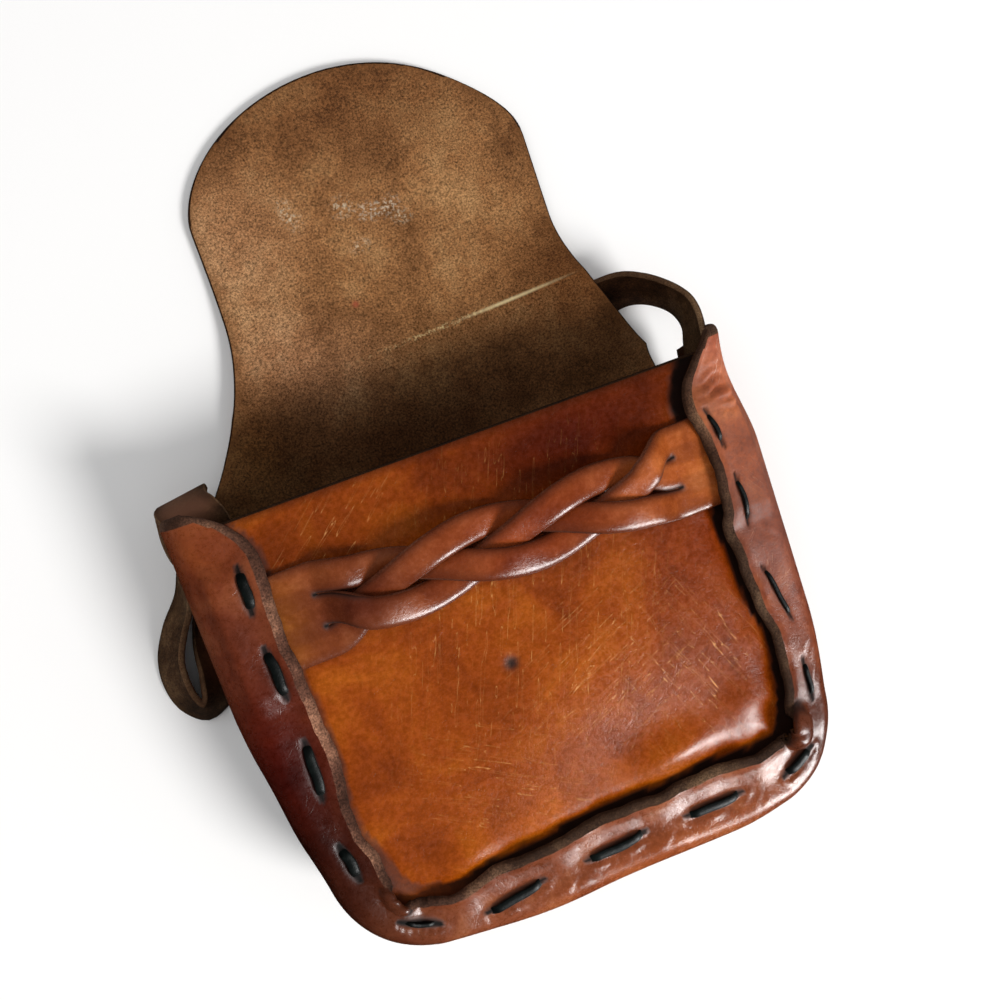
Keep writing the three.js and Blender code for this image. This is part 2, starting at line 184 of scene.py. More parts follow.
def near(tree, place, centre, reach, angle=0.0):
    """1 at a place on the bag, falling smoothly to 0 at its reach."""
    ball = add_node(tree, "ShaderNodeTexGradient", {
        "Vector": local_vector(tree, place, centre, reach, angle)}, gradient_type="SPHERICAL")
    return add_node(tree, "ShaderNodeMapRange", {"Value": ball.outputs["Fac"]},
                    interpolation_type="SMOOTHSTEP").outputs["Result"]


def layered(tree, colour, *layers):
    """The colour with each layer, given as factor, colour and blend type, laid over it in turn."""
    for factor, other, how in layers:
        colour = add_node(tree, "ShaderNodeMix", {"Factor": factor, "A": colour, "B": other},
                          data_type="RGBA", blend_type=how).outputs["Result"]
    return colour


def pattern(tree, place, kind, angle, seed):
    """Specks, or hairlines that run along the angle, as a value from 0 to 1."""
    if kind == "specks":
        where = {"Vector": place, "Scale": per_mm(SPECK_MM), "Detail": 5.0, "Roughness": 0.7}
        stops = [(0.5, 0.0), (0.62, 1.0)]
    else:
        where = {"Vector": local_vector(tree, place, (seed, 0), HAIR_MM, angle),
                 "Scale": 1.0, "Detail": 1.0, "Distortion": 0.25}
        stops = [(0.6, 0.0), (0.609, 1.0), (0.618, 0.0)]  # only a thin level line of the noise
    noise = add_node(tree, "ShaderNodeTexNoise", where).outputs["Fac"]
    return add_node(tree, "ShaderNodeValToRGB", {"Fac": noise}, stops=stops).outputs["Color"]


def tinted_and_marked(tree, place, colour, tints, marks):
    """The colour with every tint multiplied in, then every mark mixed in, near its place."""
    for centre, reach, angle, tint in tints:
        colour = layered(tree, colour, (
            near(tree, place, centre, reach, angle), (*tint, 1.0), "MULTIPLY"))
    for centre, reach, angle, hex_colour, strength, kind in marks:
        amount = near(tree, place, centre, reach, angle)
        broken = [] if kind == "plain" else [pattern(tree, place, kind, angle, centre[0])]
        for factor in [strength] + broken:
            amount = add_node(tree, "ShaderNodeMath", {0: amount, 1: factor},
                              operation="MULTIPLY").outputs["Value"]
        colour = layered(tree, colour, (amount, linear(hex_colour), "MIX"))
    return colour


print("specks of", SPECK_MM, "mm have texture scale", per_mm(SPECK_MM))

# %% [markdown]
# Both sides of a hide share a build: clouds of three tones a few centimetres wide, where dye and
# oil took unevenly, overlaid by a fine texture, then tinted and marked, then darker towards a cut
# edge. The `edge` attribute on each sheet is the distance to the cut edge in mm.

# %% What every leather shares


def hide(name, cloud, texture, contrast, rim, tints, marks):
    """A new material with its tree, Object coordinates, fine texture and colour.

    cloud and texture are each a noise's settings and its ramp's stops; rim is a hex colour, how
    strong it is at the edge, and the distances in mm where it starts to fade and is gone.
    """
    material = bpy.data.materials.new(name)
    material.use_nodes = True
    tree = material.node_tree
    tree.nodes.clear()
    place = add_node(tree, "ShaderNodeTexCoord").outputs["Object"]
    tones = []
    for settings, stops in (cloud, texture):
        noise = add_node(tree, "ShaderNodeTexNoise", {"Vector": place, **settings}).outputs["Fac"]
        tones.append(add_node(tree, "ShaderNodeValToRGB", {"Fac": noise}, stops=stops).outputs["Color"])
    colour = tinted_and_marked(tree, place, layered(tree, tones[0], (contrast, tones[1], "OVERLAY")), tints, marks)
    rim_colour, strength, full, gone = rim
    to_edge = add_node(tree, "ShaderNodeAttribute", attribute_name="edge").outputs["Fac"]
    at_edge = add_node(tree, "ShaderNodeMapRange", {
        "Value": to_edge, "From Min": full, "From Max": gone, "To Min": strength, "To Max": 0.0})
    colour = layered(tree, colour, (at_edge.outputs["Result"], linear(rim_colour), "MIX"))
    return material, tree, place, noise, colour


def shaded(tree, **inputs):
    """Closes a tree with a shader of these inputs; leather's IOR is that of its oils and finish."""
    shader = add_node(tree, "ShaderNodeBsdfPrincipled", {"IOR": 1.45, **inputs})
    add_node(tree, "ShaderNodeOutputMaterial", {"Surface": shader.outputs["BSDF"]})


# %% [markdown]
# Smooth leather is the grain side of a vegetable-tanned hide, dyed by hand and polished by use.
# To the eye it is a warm, uneven brown with a broad soft shine, fine pores and faint creases. A
# second attribute paints shade black into slits, gaps and crevices, and a real stain at a dent;
# there the leather is dull because it is rough.

# %% Grain-side leather
TEXTURE_MM = 2.2  # the coarsest of the grain's pebbling
PORE_MM = 0.9  # real pores lie 0.2 to 0.3 mm apart, which is too fine to show
CREASE_MM = 9.0
# the black of painted shade in slits, gaps and crevices, and of a real stain at a dent
SHADE_AND_STAIN_BLACK = "#0c0604"


def grain_leather(name, dark, middle, light, edge, roughness=0.38, drift=34.0, mottle=0.5,
                  wrinkles=0.15, gloss=0.45, bump_mm=0.22, worn=(), tints=(), marks=()):
    """Grain side: drift is the clouds' size in mm; worn places add to the roughness."""
    material, tree, place, fine, colour = hide(
        name, ({"Scale": per_mm(drift), "Detail": 5.0, "Roughness": 0.62, "Distortion": 0.4},
               [(0.3, dark), (0.5, middle), (0.7, light)]),
        ({"Scale": per_mm(TEXTURE_MM), "Detail": 7.0, "Roughness": 0.75},
         [(0.35, 0.3), (0.66, 0.68)]),
        mottle, (edge, 0.75, 0.6, 4.5), tints, marks)
    # Painted shade in slits, gaps and crevices, and a real stain at a dent, mixed in as black.
    shade_and_stain = add_node(tree, "ShaderNodeAttribute", attribute_name="shade_and_stain").outputs["Fac"]
    colour = layered(tree, colour, (shade_and_stain, linear(SHADE_AND_STAIN_BLACK), "MIX"))

    pores = add_node(tree, "ShaderNodeTexVoronoi", {"Vector": place, "Scale": per_mm(PORE_MM)},
                     feature="SMOOTH_F1")
    pitted = add_node(tree, "ShaderNodeMath", {0: pores.outputs["Distance"], 1: 0.3, 2: fine},
                      operation="MULTIPLY_ADD")
    folds = add_node(tree, "ShaderNodeTexNoise", {
        "Vector": place, "Scale": per_mm(CREASE_MM), "Detail": 3.0, "Distortion": 1.4})
    fold_lines = add_node(tree, "ShaderNodeValToRGB", {"Fac": folds.outputs["Fac"]},
                          stops=[(0.47, 1.0), (0.5, 0.0), (0.53, 1.0)])
    creased = add_node(tree, "ShaderNodeMath", {
        0: fold_lines.outputs["Color"], 1: wrinkles, 2: pitted.outputs["Value"]},
        operation="MULTIPLY_ADD")
    bump = add_node(tree, "ShaderNodeBump", {
        "Strength": 0.5, "Distance": bump_mm * MM, "Height": creased.outputs["Value"]})

    rough = add_node(tree, "ShaderNodeMapRange", {
        "Value": fine, "From Min": 0.3, "From Max": 0.7,
        "To Min": roughness - 0.06, "To Max": roughness + 0.1}).outputs["Result"]
    duller = [(near(tree, place, centre, reach), amount) for centre, reach, amount in worn]
    for where, amount in duller + [(shade_and_stain, 0.7)]:
        rough = add_node(tree, "ShaderNodeMath", {0: where, 1: amount, 2: rough},
                         operation="MULTIPLY_ADD").outputs["Value"]
    shaded(tree, **{"Base Color": colour, "Roughness": rough, "Specular IOR Level": gloss,
                    "Normal": bump.outputs["Normal"]})
    return material


# Tints: centre, reach, angle, factor. Marks: centre, reach, angle, colour, strength, pattern.
# The front panel: dyed tan and polished. The first two tints paint shade along the mouth and at
# its upper left, where the braid and the panel's curve keep the light off; the fifth paints a sheen
# along the bottom.
panel_tan = grain_leather(
    "veg_tan_front_panel", "#702b02", "#923f04", "#a85308", "#3a1606",
    roughness=0.25, mottle=0.6, bump_mm=0.26,
    tints=[((40, 66), (120, 50), 0.05, (0.3, 0.16, 0.2)), ((-78, 52), (50, 44), 0, (0.6, 0.55, 0.6)),
           ((85, 5), (66, 100), 0.1, (0.74, 0.6, 1.0)), ((-14.1, -13.7), (4.6, 4.0), 0, (0.25, 0.25, 0.4)),
           ((-20, -84), (60, 34), 0.1, (1.35, 1.55, 1.8)), ((30, -38), (60, 34), 0, (1.15, 1.2, 1.3))],
    marks=[((25, -30), (62, 55), 0.4, "#eeb070", 0.95, "hair"),
           ((60, -45), (60, 50), 2.0, "#eeb070", 0.95, "hair"),
           ((-64, 60), (50, 24), 0.7, "#e6a766", 0.6, "hair"),
           ((0, 0), (100, 90), 1.2, "#e0a25e", 0.75, "hair"),
           ((-30, -60), (60, 40), 2.6, "#e0a25e", 0.85, "hair")])
# The gusset: redder, thick and glossy where it bends, dull on the outside of the right wall. The
# first tint darkens the left wall, partly its own redder colour and partly painted shade of a wall
# turned from the light; the second and the seventh paint shade at its lower left and lower right.
gusset_brown = grain_leather(
    "veg_tan_gusset", "#69321a", "#864527", "#a05e3a", "#33170c", roughness=0.28, drift=26.0,
    wrinkles=0.22, bump_mm=0.26, gloss=0.65,
    worn=[((122, 30), (50, 110), 0.5), ((24, -112), (96, 18), -0.09)],
    tints=[((-112, -20), (58, 132), 0, (0.3, 0.06, 0.015)), ((-104, -72), (56, 76), 0, (0.26, 0.2, 0.2)),
           ((-112, 70), (30, 38), 0, (0.8, 0.58, 0.3)), ((114, 76), (22, 30), 0, (1.7, 1.55, 1.8)),
           ((112, -20), (40, 90), 0, (0.9, 0.68, 0.55)), ((106, 44), (24, 34), 0, (1.5, 1.4, 1.1)),
           ((100, -88), (34, 44), 0, (0.42, 0.4, 0.5)), ((20, -118), (100, 12), 0, (1.3, 1.2, 0.9))],
    marks=[((114, -25), (16, 75, 50), 0.5, "#d9a884", 0.6, "hair"),
           ((112, 30), (18, 60, 50), 2.2, "#d9a884", 0.5, "hair"),
           ((70, -116), (60, 14), 0.2, "#d9a884", 0.55, "hair"),
           ((113, 74), (16, 20), 0.9, "#e4c6b6", 0.8, "hair"),
           ((114, -20), (16, 90, 50), 1.3, "#d9a884", 0.6, "hair")])
# The braid: handled each time that the flap is tucked in, so it shines most.
braid_brown = grain_leather(
    "veg_tan_braid", "#6b2f15", "#87431f", "#a05a34", "#5a2816", roughness=0.24, drift=20.0,
    gloss=0.6, mottle=0.35,
    tints=[((-64, 34), (34, 22), 0, (0.42, 0.34, 0.5)), ((-96, 36), (20, 34), 0, (1.1, 1.3, 0.6)),
           ((84, 38), (50, 40), 0, (1.7, 1.7, 1.2)), ((10, 36), (90, 40), 0, (0.95, 0.66, 0.5))])
# The strap: dull and creased from hanging on a shoulder.
strap_grain = grain_leather("veg_tan_strap", "#3e2418", "#5c3a2a", "#7a5240", "#3a2417",
                            roughness=0.5, drift=16.0, wrinkles=0.35, gloss=0.2)
print("grain-side leathers made")

# %% [markdown]
# The flesh side is the inner face of the hide, where it was split from the body: short fibres, no
# shine, speckled light and dark. Cut edges show the same fibres. Hair would be truer and far too
# heavy; both scatter light, so a rough surface with a strong fine bump looks the same.

# %% Flesh side and cut edges
CLOUD_MM = 38.0
FLESH_GLOSS = 0.15


def flesh_leather(name, dark, middle, light, speck=0.9, bump_mm=0.5, contrast=0.9, tints=(), marks=()):
    """Flesh side or cut edge: speck is the size of the fibre bundles in mm."""
    material, tree, place, fibres, colour = hide(
        name, ({"Scale": per_mm(CLOUD_MM), "Detail": 7.0, "Roughness": 0.68},
               [(0.34, dark), (0.5, middle), (0.68, light)]),
        ({"Scale": per_mm(speck), "Detail": 8.0, "Roughness": 0.8},
         [(0.39, 0.12), (0.5, 0.45), (0.63, 0.88)]),
        contrast, (dark, 0.5, 0.5, 5.0), tints, marks)
    bump = add_node(tree, "ShaderNodeBump", {
        "Strength": 0.8, "Distance": bump_mm * MM, "Height": fibres})
    shaded(tree, **{"Base Color": colour, "Roughness": 0.9, "Specular IOR Level": FLESH_GLOSS,
                    "Normal": bump.outputs["Normal"]})
    return material


# The flap's inside, with a pale fold line and rubbed spots. The first tint paints the bag's shade
# on it near the mouth, and the fourth more of it at the lower left; the third paints a sheen beside
# the left end of the fold line.
flap_flesh = flesh_leather(
    "flesh_side_flap", "#6c4627", "#92653e", "#ac8256", contrast=1.0,
    tints=[((-12, 84), (205, 58), 0.05, (0.16, 0.12, 0.1)), ((10, 232), (110, 46), 0, (0.62, 0.55, 0.5)),
           ((-50, 124), (60, 40), 0, (1.15, 1.2, 1.5)), ((-78, 100), (40, 44), 0, (0.5, 0.42, 0.3)),
           ((78, 128), (46, 44), 0, (0.6, 0.5, 0.42)), ((-62, 185), (50, 60), 0, (1.22, 1.28, 1.5))],
    marks=[((21, 125.5), (66, 1.7), 0.06, "#d9c08a", 0.85, "specks"),
           ((48, 127), (34, 1.2), 0.06, "#e2cd9c", 0.8, "plain"),
           ((-32, 191), (6, 11), 0.3, "#e0d2b4", 0.7, "specks"),
           ((-9, 188), (8, 7), 0, "#e0d2b4", 0.7, "specks"),
           ((2, 183), (9, 6), 0, "#e6dcc4", 0.8, "specks"),
           ((11, 183), (8, 6), 0.5, "#e6dcc4", 0.7, "specks"),
           ((15, 177), (7, 5), 0, "#e0d2b4", 0.7, "specks"),
           ((-7, 170), (7, 5), 0, "#e0d2b4", 0.55, "specks"),
           ((-18, 146.5), (2.4, 2.4), 0, "#a8503a", 0.7, "plain")])
# The bag's inside; its tint paints the shade deep in the gusset's right end, at the mouth.
inner_flesh = flesh_leather("flesh_side_inside", "#3a2010", "#5e3a1e", "#7c5230",
                            tints=[((112, 78), (22, 24), 0, (0.15, 0.1, 0.08))])
# The strap's flesh side; the first tint paints shade where it comes out of the gusset's right end.
strap_flesh = flesh_leather(
    "flesh_side_strap", "#21140a", "#452e1b", "#705438", contrast=0.8,
    tints=[((104, 86), (24, 24), 0, (0.2, 0.17, 0.15)), ((100, 118), (44, 30), 0, (1.25, 1.0, 0.9))],
    marks=[((-113, 88), (24, 11), 0, "#6d4938", 0.95, "plain"),
           ((-124, 20), (15, 26), 0.2, "#4a2212", 0.9, "plain")])
# The gusset's raw edge: cut with a knife and left; the others are burnished with water and a stick.
raw_edge = flesh_leather(
    "raw_cut_edge", "#2e1d14", "#523a2b", "#88694e", speck=0.8, bump_mm=1.1, contrast=1.0,
    tints=[((-88, 0), (70, 170), 0, (2.7, 2.25, 2.5)), ((108, 50), (34, 56), 0, (1.5, 1.25, 1.2)),
           ((20, -116), (90, 60), 0, (0.8, 0.8, 0.75))])
strap_edge = flesh_leather("strap_cut_edge", "#3f2a1c", "#70523a", "#9a7a5a", speck=0.7, bump_mm=0.4)
braid_edge = flesh_leather("braid_cut_edge", "#4a2114", "#74402a", "#94604a", speck=0.7, bump_mm=0.15)
dark_edge = flesh_leather("burnished_edge", "#1f110a", "#35200f", "#4a2e18", speck=0.6, bump_mm=0.2)
print("flesh sides and edges made")

# %% [markdown]
# The lace is a narrow strip of black leather, waxed, so it is nearly black with a soft shine. The
# floor is plain matt paper, a little under white so that shadows and light both show on it.

# %% Black lace and the pale floor
lace_black = grain_leather("waxed_black_lace", "#070b0a", "#101817", "#22302d", "#070a09",
                           roughness=0.42, drift=6.0, gloss=0.3)

floor_paper = bpy.data.materials.new("pale_floor")
floor_paper.use_nodes = True
floor_shader = floor_paper.node_tree.nodes["Principled BSDF"]
floor_shader.inputs["Base Color"].default_value = (0.96, 0.96, 0.96, 1.0)
floor_shader.inputs["Roughness"].default_value = 0.9
floor_mesh.materials.append(floor_paper)
print(len(bpy.data.materials), "materials")

# %% [markdown]
# Every leather piece is made by one function from a grid of points on its outer face. It finds
# the normals, adds the inner face one thickness below, rounds both faces over towards the raw
# edge, closes the rim, and keeps the distance to the edge as an attribute for the materials.
# A Solidify modifier gives thickness too, but not an edge that is rounder outside than inside.

# %% Curves that the shapes are written with
ROUND_PLACES = (0.0, 0.12, 0.35, 0.7, 1.15)  # shares of a round edge's reach


def smooth(low, high, value):
    """0 up to low, 1 from high, and a soft step between."""
    t = np.clip((value - low) / (high - low), 0, 1)
    return t * t * (3 - 2 * t)


def bell(value, reach):
    return 1 - smooth(0, reach, np.abs(value))


def unit_rows(vectors):
    return vectors / np.maximum(np.linalg.norm(vectors, axis=-1, keepdims=True), 1e-12)


def edge_spaced(length, step, round_over=1.2):
    """Places from 0 to length, close together where an edge rounds over."""
    near = [share * round_over for share in ROUND_PLACES]
    inner = length - 2 * near[-1]
    count = max(2, round(inner / step))
    middle = [near[-1] + inner * i / count for i in range(1, count)]
    return np.array(near + middle + [length - place for place in reversed(near)])


def round_drop(distance, radius, reach):
    """How far an edge has rounded over: all of radius at the rim, nothing from reach inwards."""
    inside = np.clip(1 - distance / reach, 0, 1)
    return radius * (1 - np.sqrt(1 - inside ** 2))


print("a 20 mm strip has points at", edge_spaced(20, 5).round(1))

# %% The leather sheet
OUTER, INNER, RIM = 0, 1, 2  # material slots


def sheet_faces(rows, columns, kept, raw, welded):
    """The quads of a closed sheet and their slots; the inner face has only the kept columns."""
    wide = len(kept)

    def front(i, j):
        return i * columns + j

    def back(i, k):
        return rows * columns + i * wide + k

    faces, slots = [], []
    open_first, open_last = (np.zeros(rows, bool) if side is None else side for side in welded)
    last, top = columns - 1, rows - 1
    for i in range(top):
        for j in range(last):
            faces.append((front(i, j), front(i, j + 1), front(i + 1, j + 1), front(i + 1, j)))
            slots.append(RIM if raw[i, j] else OUTER)
        for k in range(wide - 1):
            faces.append((back(i, k), back(i + 1, k), back(i + 1, k + 1), back(i, k + 1)))
            slots.append(INNER)
        if not (open_first[i] and open_first[i + 1]):
            faces.append((front(i, 0), front(i + 1, 0), back(i + 1, 0), back(i, 0)))
            slots.append(RIM)
        if not (open_last[i] and open_last[i + 1]):
            faces.append((front(i + 1, last), front(i, last), back(i, wide - 1), back(i + 1, wide - 1)))
            slots.append(RIM)
    for k in range(wide - 1):
        span = range(kept[k], kept[k + 1] + 1)
        faces.append(tuple(front(0, j) for j in reversed(span)) + (back(0, k), back(0, k + 1)))
        faces.append(tuple(front(top, j) for j in span) + (back(top, k + 1), back(top, k)))
        slots += [RIM, RIM]
    return faces, slots


def leather_sheet(name, outer, edge, thickness=LEATHER, rounding=(1.1, 1.1, 0.8), normals=None,
                  raw_within=0.9, inner_skip=1, shade_and_stain=None, smooth_over=0.0, welded=(None, None),
                  materials=()):
    """A closed sheet from rows x columns x 3 points of its outer face, in bag mm.

    edge is each point's distance to the rim, and the raw edge's material reaches raw_within mm of
    it; smooth_over adds to that distance where the grain runs on over the rim. rounding is the
    outer round's depth and reach and the inner round's radius; welded says for which rows the
    first and last column have no rim, because a neighbour joins there.
    """
    if normals is None:
        normals = unit_rows(np.cross(np.gradient(outer, axis=1), np.gradient(outer, axis=0)))
    depth, reach, inner_radius = rounding
    face = outer - normals * round_drop(edge, depth, reach)[..., None]
    back = outer - normals * (thickness - round_drop(edge, inner_radius, inner_radius))[..., None]
    rows, columns = edge.shape
    kept = sorted(set(range(0, columns, inner_skip)) | {columns - 1})
    points = np.concatenate([face.reshape(-1, 3), back[:, kept].reshape(-1, 3)])
    bare = edge + smooth_over
    raw = (bare[:-1, :-1] + bare[:-1, 1:] + bare[1:, :-1] + bare[1:, 1:]) / 4 < raw_within
    faces, slots = sheet_faces(rows, columns, kept, raw, welded)
    mesh = bpy.data.meshes.new(name)
    mesh.from_pydata(placed(points).tolist(), [], faces)
    for material in materials:
        mesh.materials.append(material)
    mesh.polygons.foreach_set("material_index", slots)
    mesh.polygons.foreach_set("use_smooth", [True] * len(faces))
    # The second attribute holds painted shade for slits, gaps and crevices, and real stains.
    shade_and_stain = np.zeros(edge.shape) if shade_and_stain is None else shade_and_stain
    for label, values in (("edge", edge), ("shade_and_stain", shade_and_stain)):
        layer = mesh.attributes.new(label, "FLOAT", "POINT")
        layer.data.foreach_set("value", np.concatenate([values.ravel(), values[:, kept].ravel()]))
    mesh.update()
    piece = bpy.data.objects.new(name, mesh)
    bpy.context.scene.collection.objects.link(piece)
    print(name, len(faces), "faces")
    return piece


def settle(piece, slot, *nodes):
    """The piece stands for its nodes and rides on the one body; slot is not used."""
    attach(piece, "root")
    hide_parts(*nodes)


print("sheets are", LEATHER, "mm thick unless they say otherwise")

# %% [markdown]
# The lace draws the bag's outline in, most of all at its lower corners. A few pulls say where:
# each has a direction outwards, a depth, and the distances where it starts and is full. The same
# pulls move every body piece, so that they keep clear of each other. A lattice would do this too,
# but a table shows which lace pulls where.

# %% The lace's pull
PULLS = [  # outwards, depth, from, to, and the middle and reach along the wall if it is local
    ((-0.72, -0.69), 16.0, 95, 165, None, None),
    ((0.78, -0.62), 8.0, 120, 165, None, None),
    ((1, 0), 1.8, 104, 120, None, None),
    ((1, 0), 4.4, 104, 120, 70, 35),
    ((0, -1), 2.8, 106, 120, -5, 75),
    ((-1, 0), 1.8, 106, 120, 28, 35),
]


def drawn_in(points):
    """Bag points moved in the floor's plane by all the pulls."""
    x, y = points[..., 0], points[..., 1]
    moved = np.array(points, float)
    for (out_x, out_y), depth, low, high, middle, reach in PULLS:
        near = 1.0 if reach is None else bell(y * out_x - x * out_y - middle, reach)
        amount = depth * near * smooth(low, high, x * out_x + y * out_y)
        moved[..., 0] -= out_x * amount
        moved[..., 1] -= out_y * amount
    return moved


print(len(PULLS), "pulls, the deepest of", max(pull[1] for pull in PULLS), "mm")

# %% [markdown]
# The gusset is one strip bent into a channel. Its path runs down the left side, along the bottom
# and up the right side; its section is a flange, a round shoulder, a bulged wall and a second
# flange. The section is the same all round, so it is a formula, swept along the path; a bevelled
# curve could not change the flange's width on the way.

# %% The gusset's path and section
SHOULDER = 17.0  # how far inward the round shoulder reaches
SQUARENESS = 2.8  # the shoulder's superellipse: 2 is round, more is squarer
FLAT_END = 46.0  # past the widest flange
WALL_MIDDLE = 34.0  # height where the wall bulges most
TURN_POINTS = 60
FLANGE = {"width": 33.0, "bottom_extra": 4.0, "mouth": 2.0, "flare_from": 58.0,
          "back_flare": (38.0, 72.0)}
side_run = BODY["mouth"] - BODY["bottom"] - BODY["corner"]
bottom_run = 2 * (BODY["half_width"] - BODY["corner"])
arc_run = math.pi / 2 * BODY["corner"]
PATH = 2 * side_run + bottom_run + 2 * arc_run
flange_top = BODY["height"] + SEAT + LEATHER
flange_under = LACE["thickness"] + SEAT


def wall_path(s):
    """Place and outward direction of the wall's line at a distance from its left end."""
    s = np.asarray(s, float)
    d = np.abs(s - PATH / 2)
    right_side = np.where(s < PATH / 2, -1.0, 1.0)
    turned = np.clip((d - bottom_run / 2) / BODY["corner"], 0, math.pi / 2)
    beyond = np.maximum(d - bottom_run / 2 - arc_run, 0)
    x = right_side * (np.minimum(d, bottom_run / 2) + BODY["corner"] * np.sin(turned))
    y = BODY["bottom"] + BODY["corner"] * (1 - np.cos(turned)) + beyond
    return x, y, right_side * np.sin(turned), -np.cos(turned)


def section_curve():
    """The section's outer face from far inside the front flange round to the back one."""
    turn = np.linspace(0, math.pi / 2, TURN_POINTS)
    front_rise = flange_top - WALL_MIDDLE
    back_rise = WALL_MIDDLE - flange_under
    cos, sin = np.cos(turn) ** (2 / SQUARENESS), np.sin(turn) ** (2 / SQUARENESS)
    front = np.stack([SHOULDER * (1 - sin), WALL_MIDDLE + front_rise * cos], axis=1)
    back = np.stack([SHOULDER * (1 - sin[::-1]), WALL_MIDDLE - back_rise * cos[::-1]], axis=1)
    flat_front = np.array([[FLAT_END, flange_top]])
    flat_back = np.array([[FLAT_END, flange_under]])
    curve = np.concatenate([flat_front, front, back[1:], flat_back])
    lengths = np.linalg.norm(np.diff(curve, axis=0), axis=1)
    return curve, np.concatenate([[0], np.cumsum(lengths)])


section, section_length = section_curve()
middle_length = section_length[-1] / 2
print("gusset path", round(PATH), "mm, section", round(section_length[-1]), "mm")

# %% [markdown]
# Nothing about hand-laced leather is straight. The raw edge was cut by eye and wanders, so its
# width is a table along the path; it is averaged, because a knife makes no corners. Each top end
# narrows to an ear.

# %% The gusset's edges
RAW_EDGE = [  # path distance, how much wider than usual the front flange is there
    (0, 0), (25, 0.5), (35, -0.6), (46, -1.1), (57, -1.9), (70, -0.7), (84, -0.7), (99, -0.2),
    (111, 0.7), (122, -1.3), (133, -2.4), (145, -3.1), (157, -1.0), (168, -2.6), (187, -3.0),
    (205, -4.5), (220, -5.4), (235, -5.1), (246, -4.8), (257, -4.7), (267, -0.3), (275, 1.5),
    (285, 1.0), (304, 1.0), (314, 2.3), (328, 2.9), (341, 2.0), (353, 1.1), (364, 1.5), (375, 1.7),
    (388, 0.6), (397, -1.4), (405, 0.4), (424, 0.7), (438, 1.7), (452, 3.8), (464, 4.2), (473, 3.8),
    (481, -0.2), (492, -2.8), (502, -3.7), (514, -4.8), (527, -1.0), (538, 0), (549, 0.4),
    (558, 1.0), (568, 2.4), (575, 0.7), (585, -0.1), (594, -0.4), (604, 0.2), (612, 1.9),
    (619, 4.3), (624, 3.3), (635, 1.0), (648, 0),
]
BLUR_MM, BLUR_WIDTH = 5, 3.0
EAR_ROUND = 0.97  # 1 would end the ear in a point
raw_places, raw_widths = (np.array(column, float) for column in zip(*RAW_EDGE))


def smooth_table(at, places, values):
    """Values between the places of a table, averaged over a few mm so that no corner shows."""
    shifts = np.linspace(-BLUR_MM, BLUR_MM, 2 * BLUR_MM + 1)
    weights = np.exp(-(shifts / BLUR_WIDTH) ** 2)
    return sum(w * np.interp(at + d, places, values) for d, w in zip(shifts, weights)) / weights.sum()


def flange_width(s, front):
    """How far the front or the back flange reaches in, at path distances s."""
    _, y, _, out_y = wall_path(s)
    level = FLANGE["width"] + FLANGE["bottom_extra"] * smooth(0.3, 1, -out_y)
    if front:
        level = level + smooth_table(s, raw_places, raw_widths)
        level = level + 0.1 * np.sin(s * 0.9) + 0.2 * np.sin(s * 0.37 + 1)
        up = np.clip((y - FLANGE["flare_from"]) / (BODY["mouth"] - FLANGE["flare_from"]), 0, 1)
        flare = np.sqrt(1 - (EAR_ROUND * up) ** 2)
    else:
        low, high = FLANGE["back_flare"]
        flare = 1 - smooth(low, high, y)
    return FLANGE["mouth"] + (level - FLANGE["mouth"]) * flare


print("front flange", flange_width(np.array([60.0, PATH / 2]), True).round(1), "mm wide at left and bottom")

# %% [markdown]
# The lace was pulled tight while the leather was damp. So the flange dips at each stitch, puffs up
# in lips beside it and puckers across it, folds run out from the tightest places, and the spare
# leather piles up at the lower corners. Sculpting could do it; formulas around a list of stitches
# keep the lace and the dips together.

# %% What the lace does to the front flange
STITCHES = [  # where each visible stitch goes in and out
    ((-12, -105), (15.5, -104)), ((-58, -107.5), (-32, -104.5)), ((-92, -95), (-78, -103)),
    ((-101, -71.5), (-103.5, -56)), ((-103, -35), (-101.5, -11)), ((-101.5, 8.5), (-102.5, 29.5)),
    ((-102, 44.5), (-101, 62)), ((35, -105.5), (61.5, -106)), ((83, -107.5), (98, -100)),
    ((106, -80), (107, -62)), ((107.5, -42), (102, -16.5)), ((101.5, 4), (101, 25.5)),
    ((100, 40), (97, 56)),
]
CREASES = [  # centre, angle, reach, depth: folds that the lace's pull has pressed in
    ((104, 62.5), 0.22, 14, 1.5), ((104.5, 67.5), 0.3, 11, 1.1), ((109, 58.5), 0.1, 10, 1.2),
    ((109, 54), -0.1, 10, 0.9), ((107, 72), 0.35, 9, 0.7), ((106, 65), 0.26, 8, 0.7),
    ((110, 8), -0.6, 8, 0.5), ((109, -3), -0.9, 7, 0.5), ((-96, -78), -0.9, 9, 0.7),
    ((-93, -85), -0.5, 8, 0.9), ((-86, -93), 0.1, 7, 0.5), ((113, -56), 0.9, 9, 0.6),
    ((112, -70), 1.1, 8, 0.5), ((70, -112), 1.0, 7, 0.4), ((26, -112), 0.8, 7, 0.4),
    ((-20, -113), 0.9, 7, 0.4),
]
KNOBS = [  # centre, half sizes, direction of the longer one, lift
    ((94.2, -88.5), (5.6, 7.6), (0.35, 0.94), 7.4),
    ((-90.8, -85.5), (3.2, 5.6), (-0.4, 0.9), 3.0),
]
SLIT = {"half": 2.4, "less_at_right": 1.1, "beyond": 2.5, "depth": 1.7}
DIP = {"depth": 2.4, "reach": 7.5}
LIP = {"rise": 0.4, "more_outside": 0.7, "from_slit": 2.4, "reach": 2.0, "pucker": 0.15}
FOLD = {"half": 0.9, "ridge_from": 2.0, "ridge_half": 1.4, "ridge_share": 0.5}


def stitch_frame(stitch):
    """A stitch's start, its direction, the direction across it and its length."""
    start, end = np.array(stitch[0], float), np.array(stitch[1], float)
    length = np.linalg.norm(end - start)
    along = (end - start) / length
    return start, along, np.array([along[1], -along[0]]), length


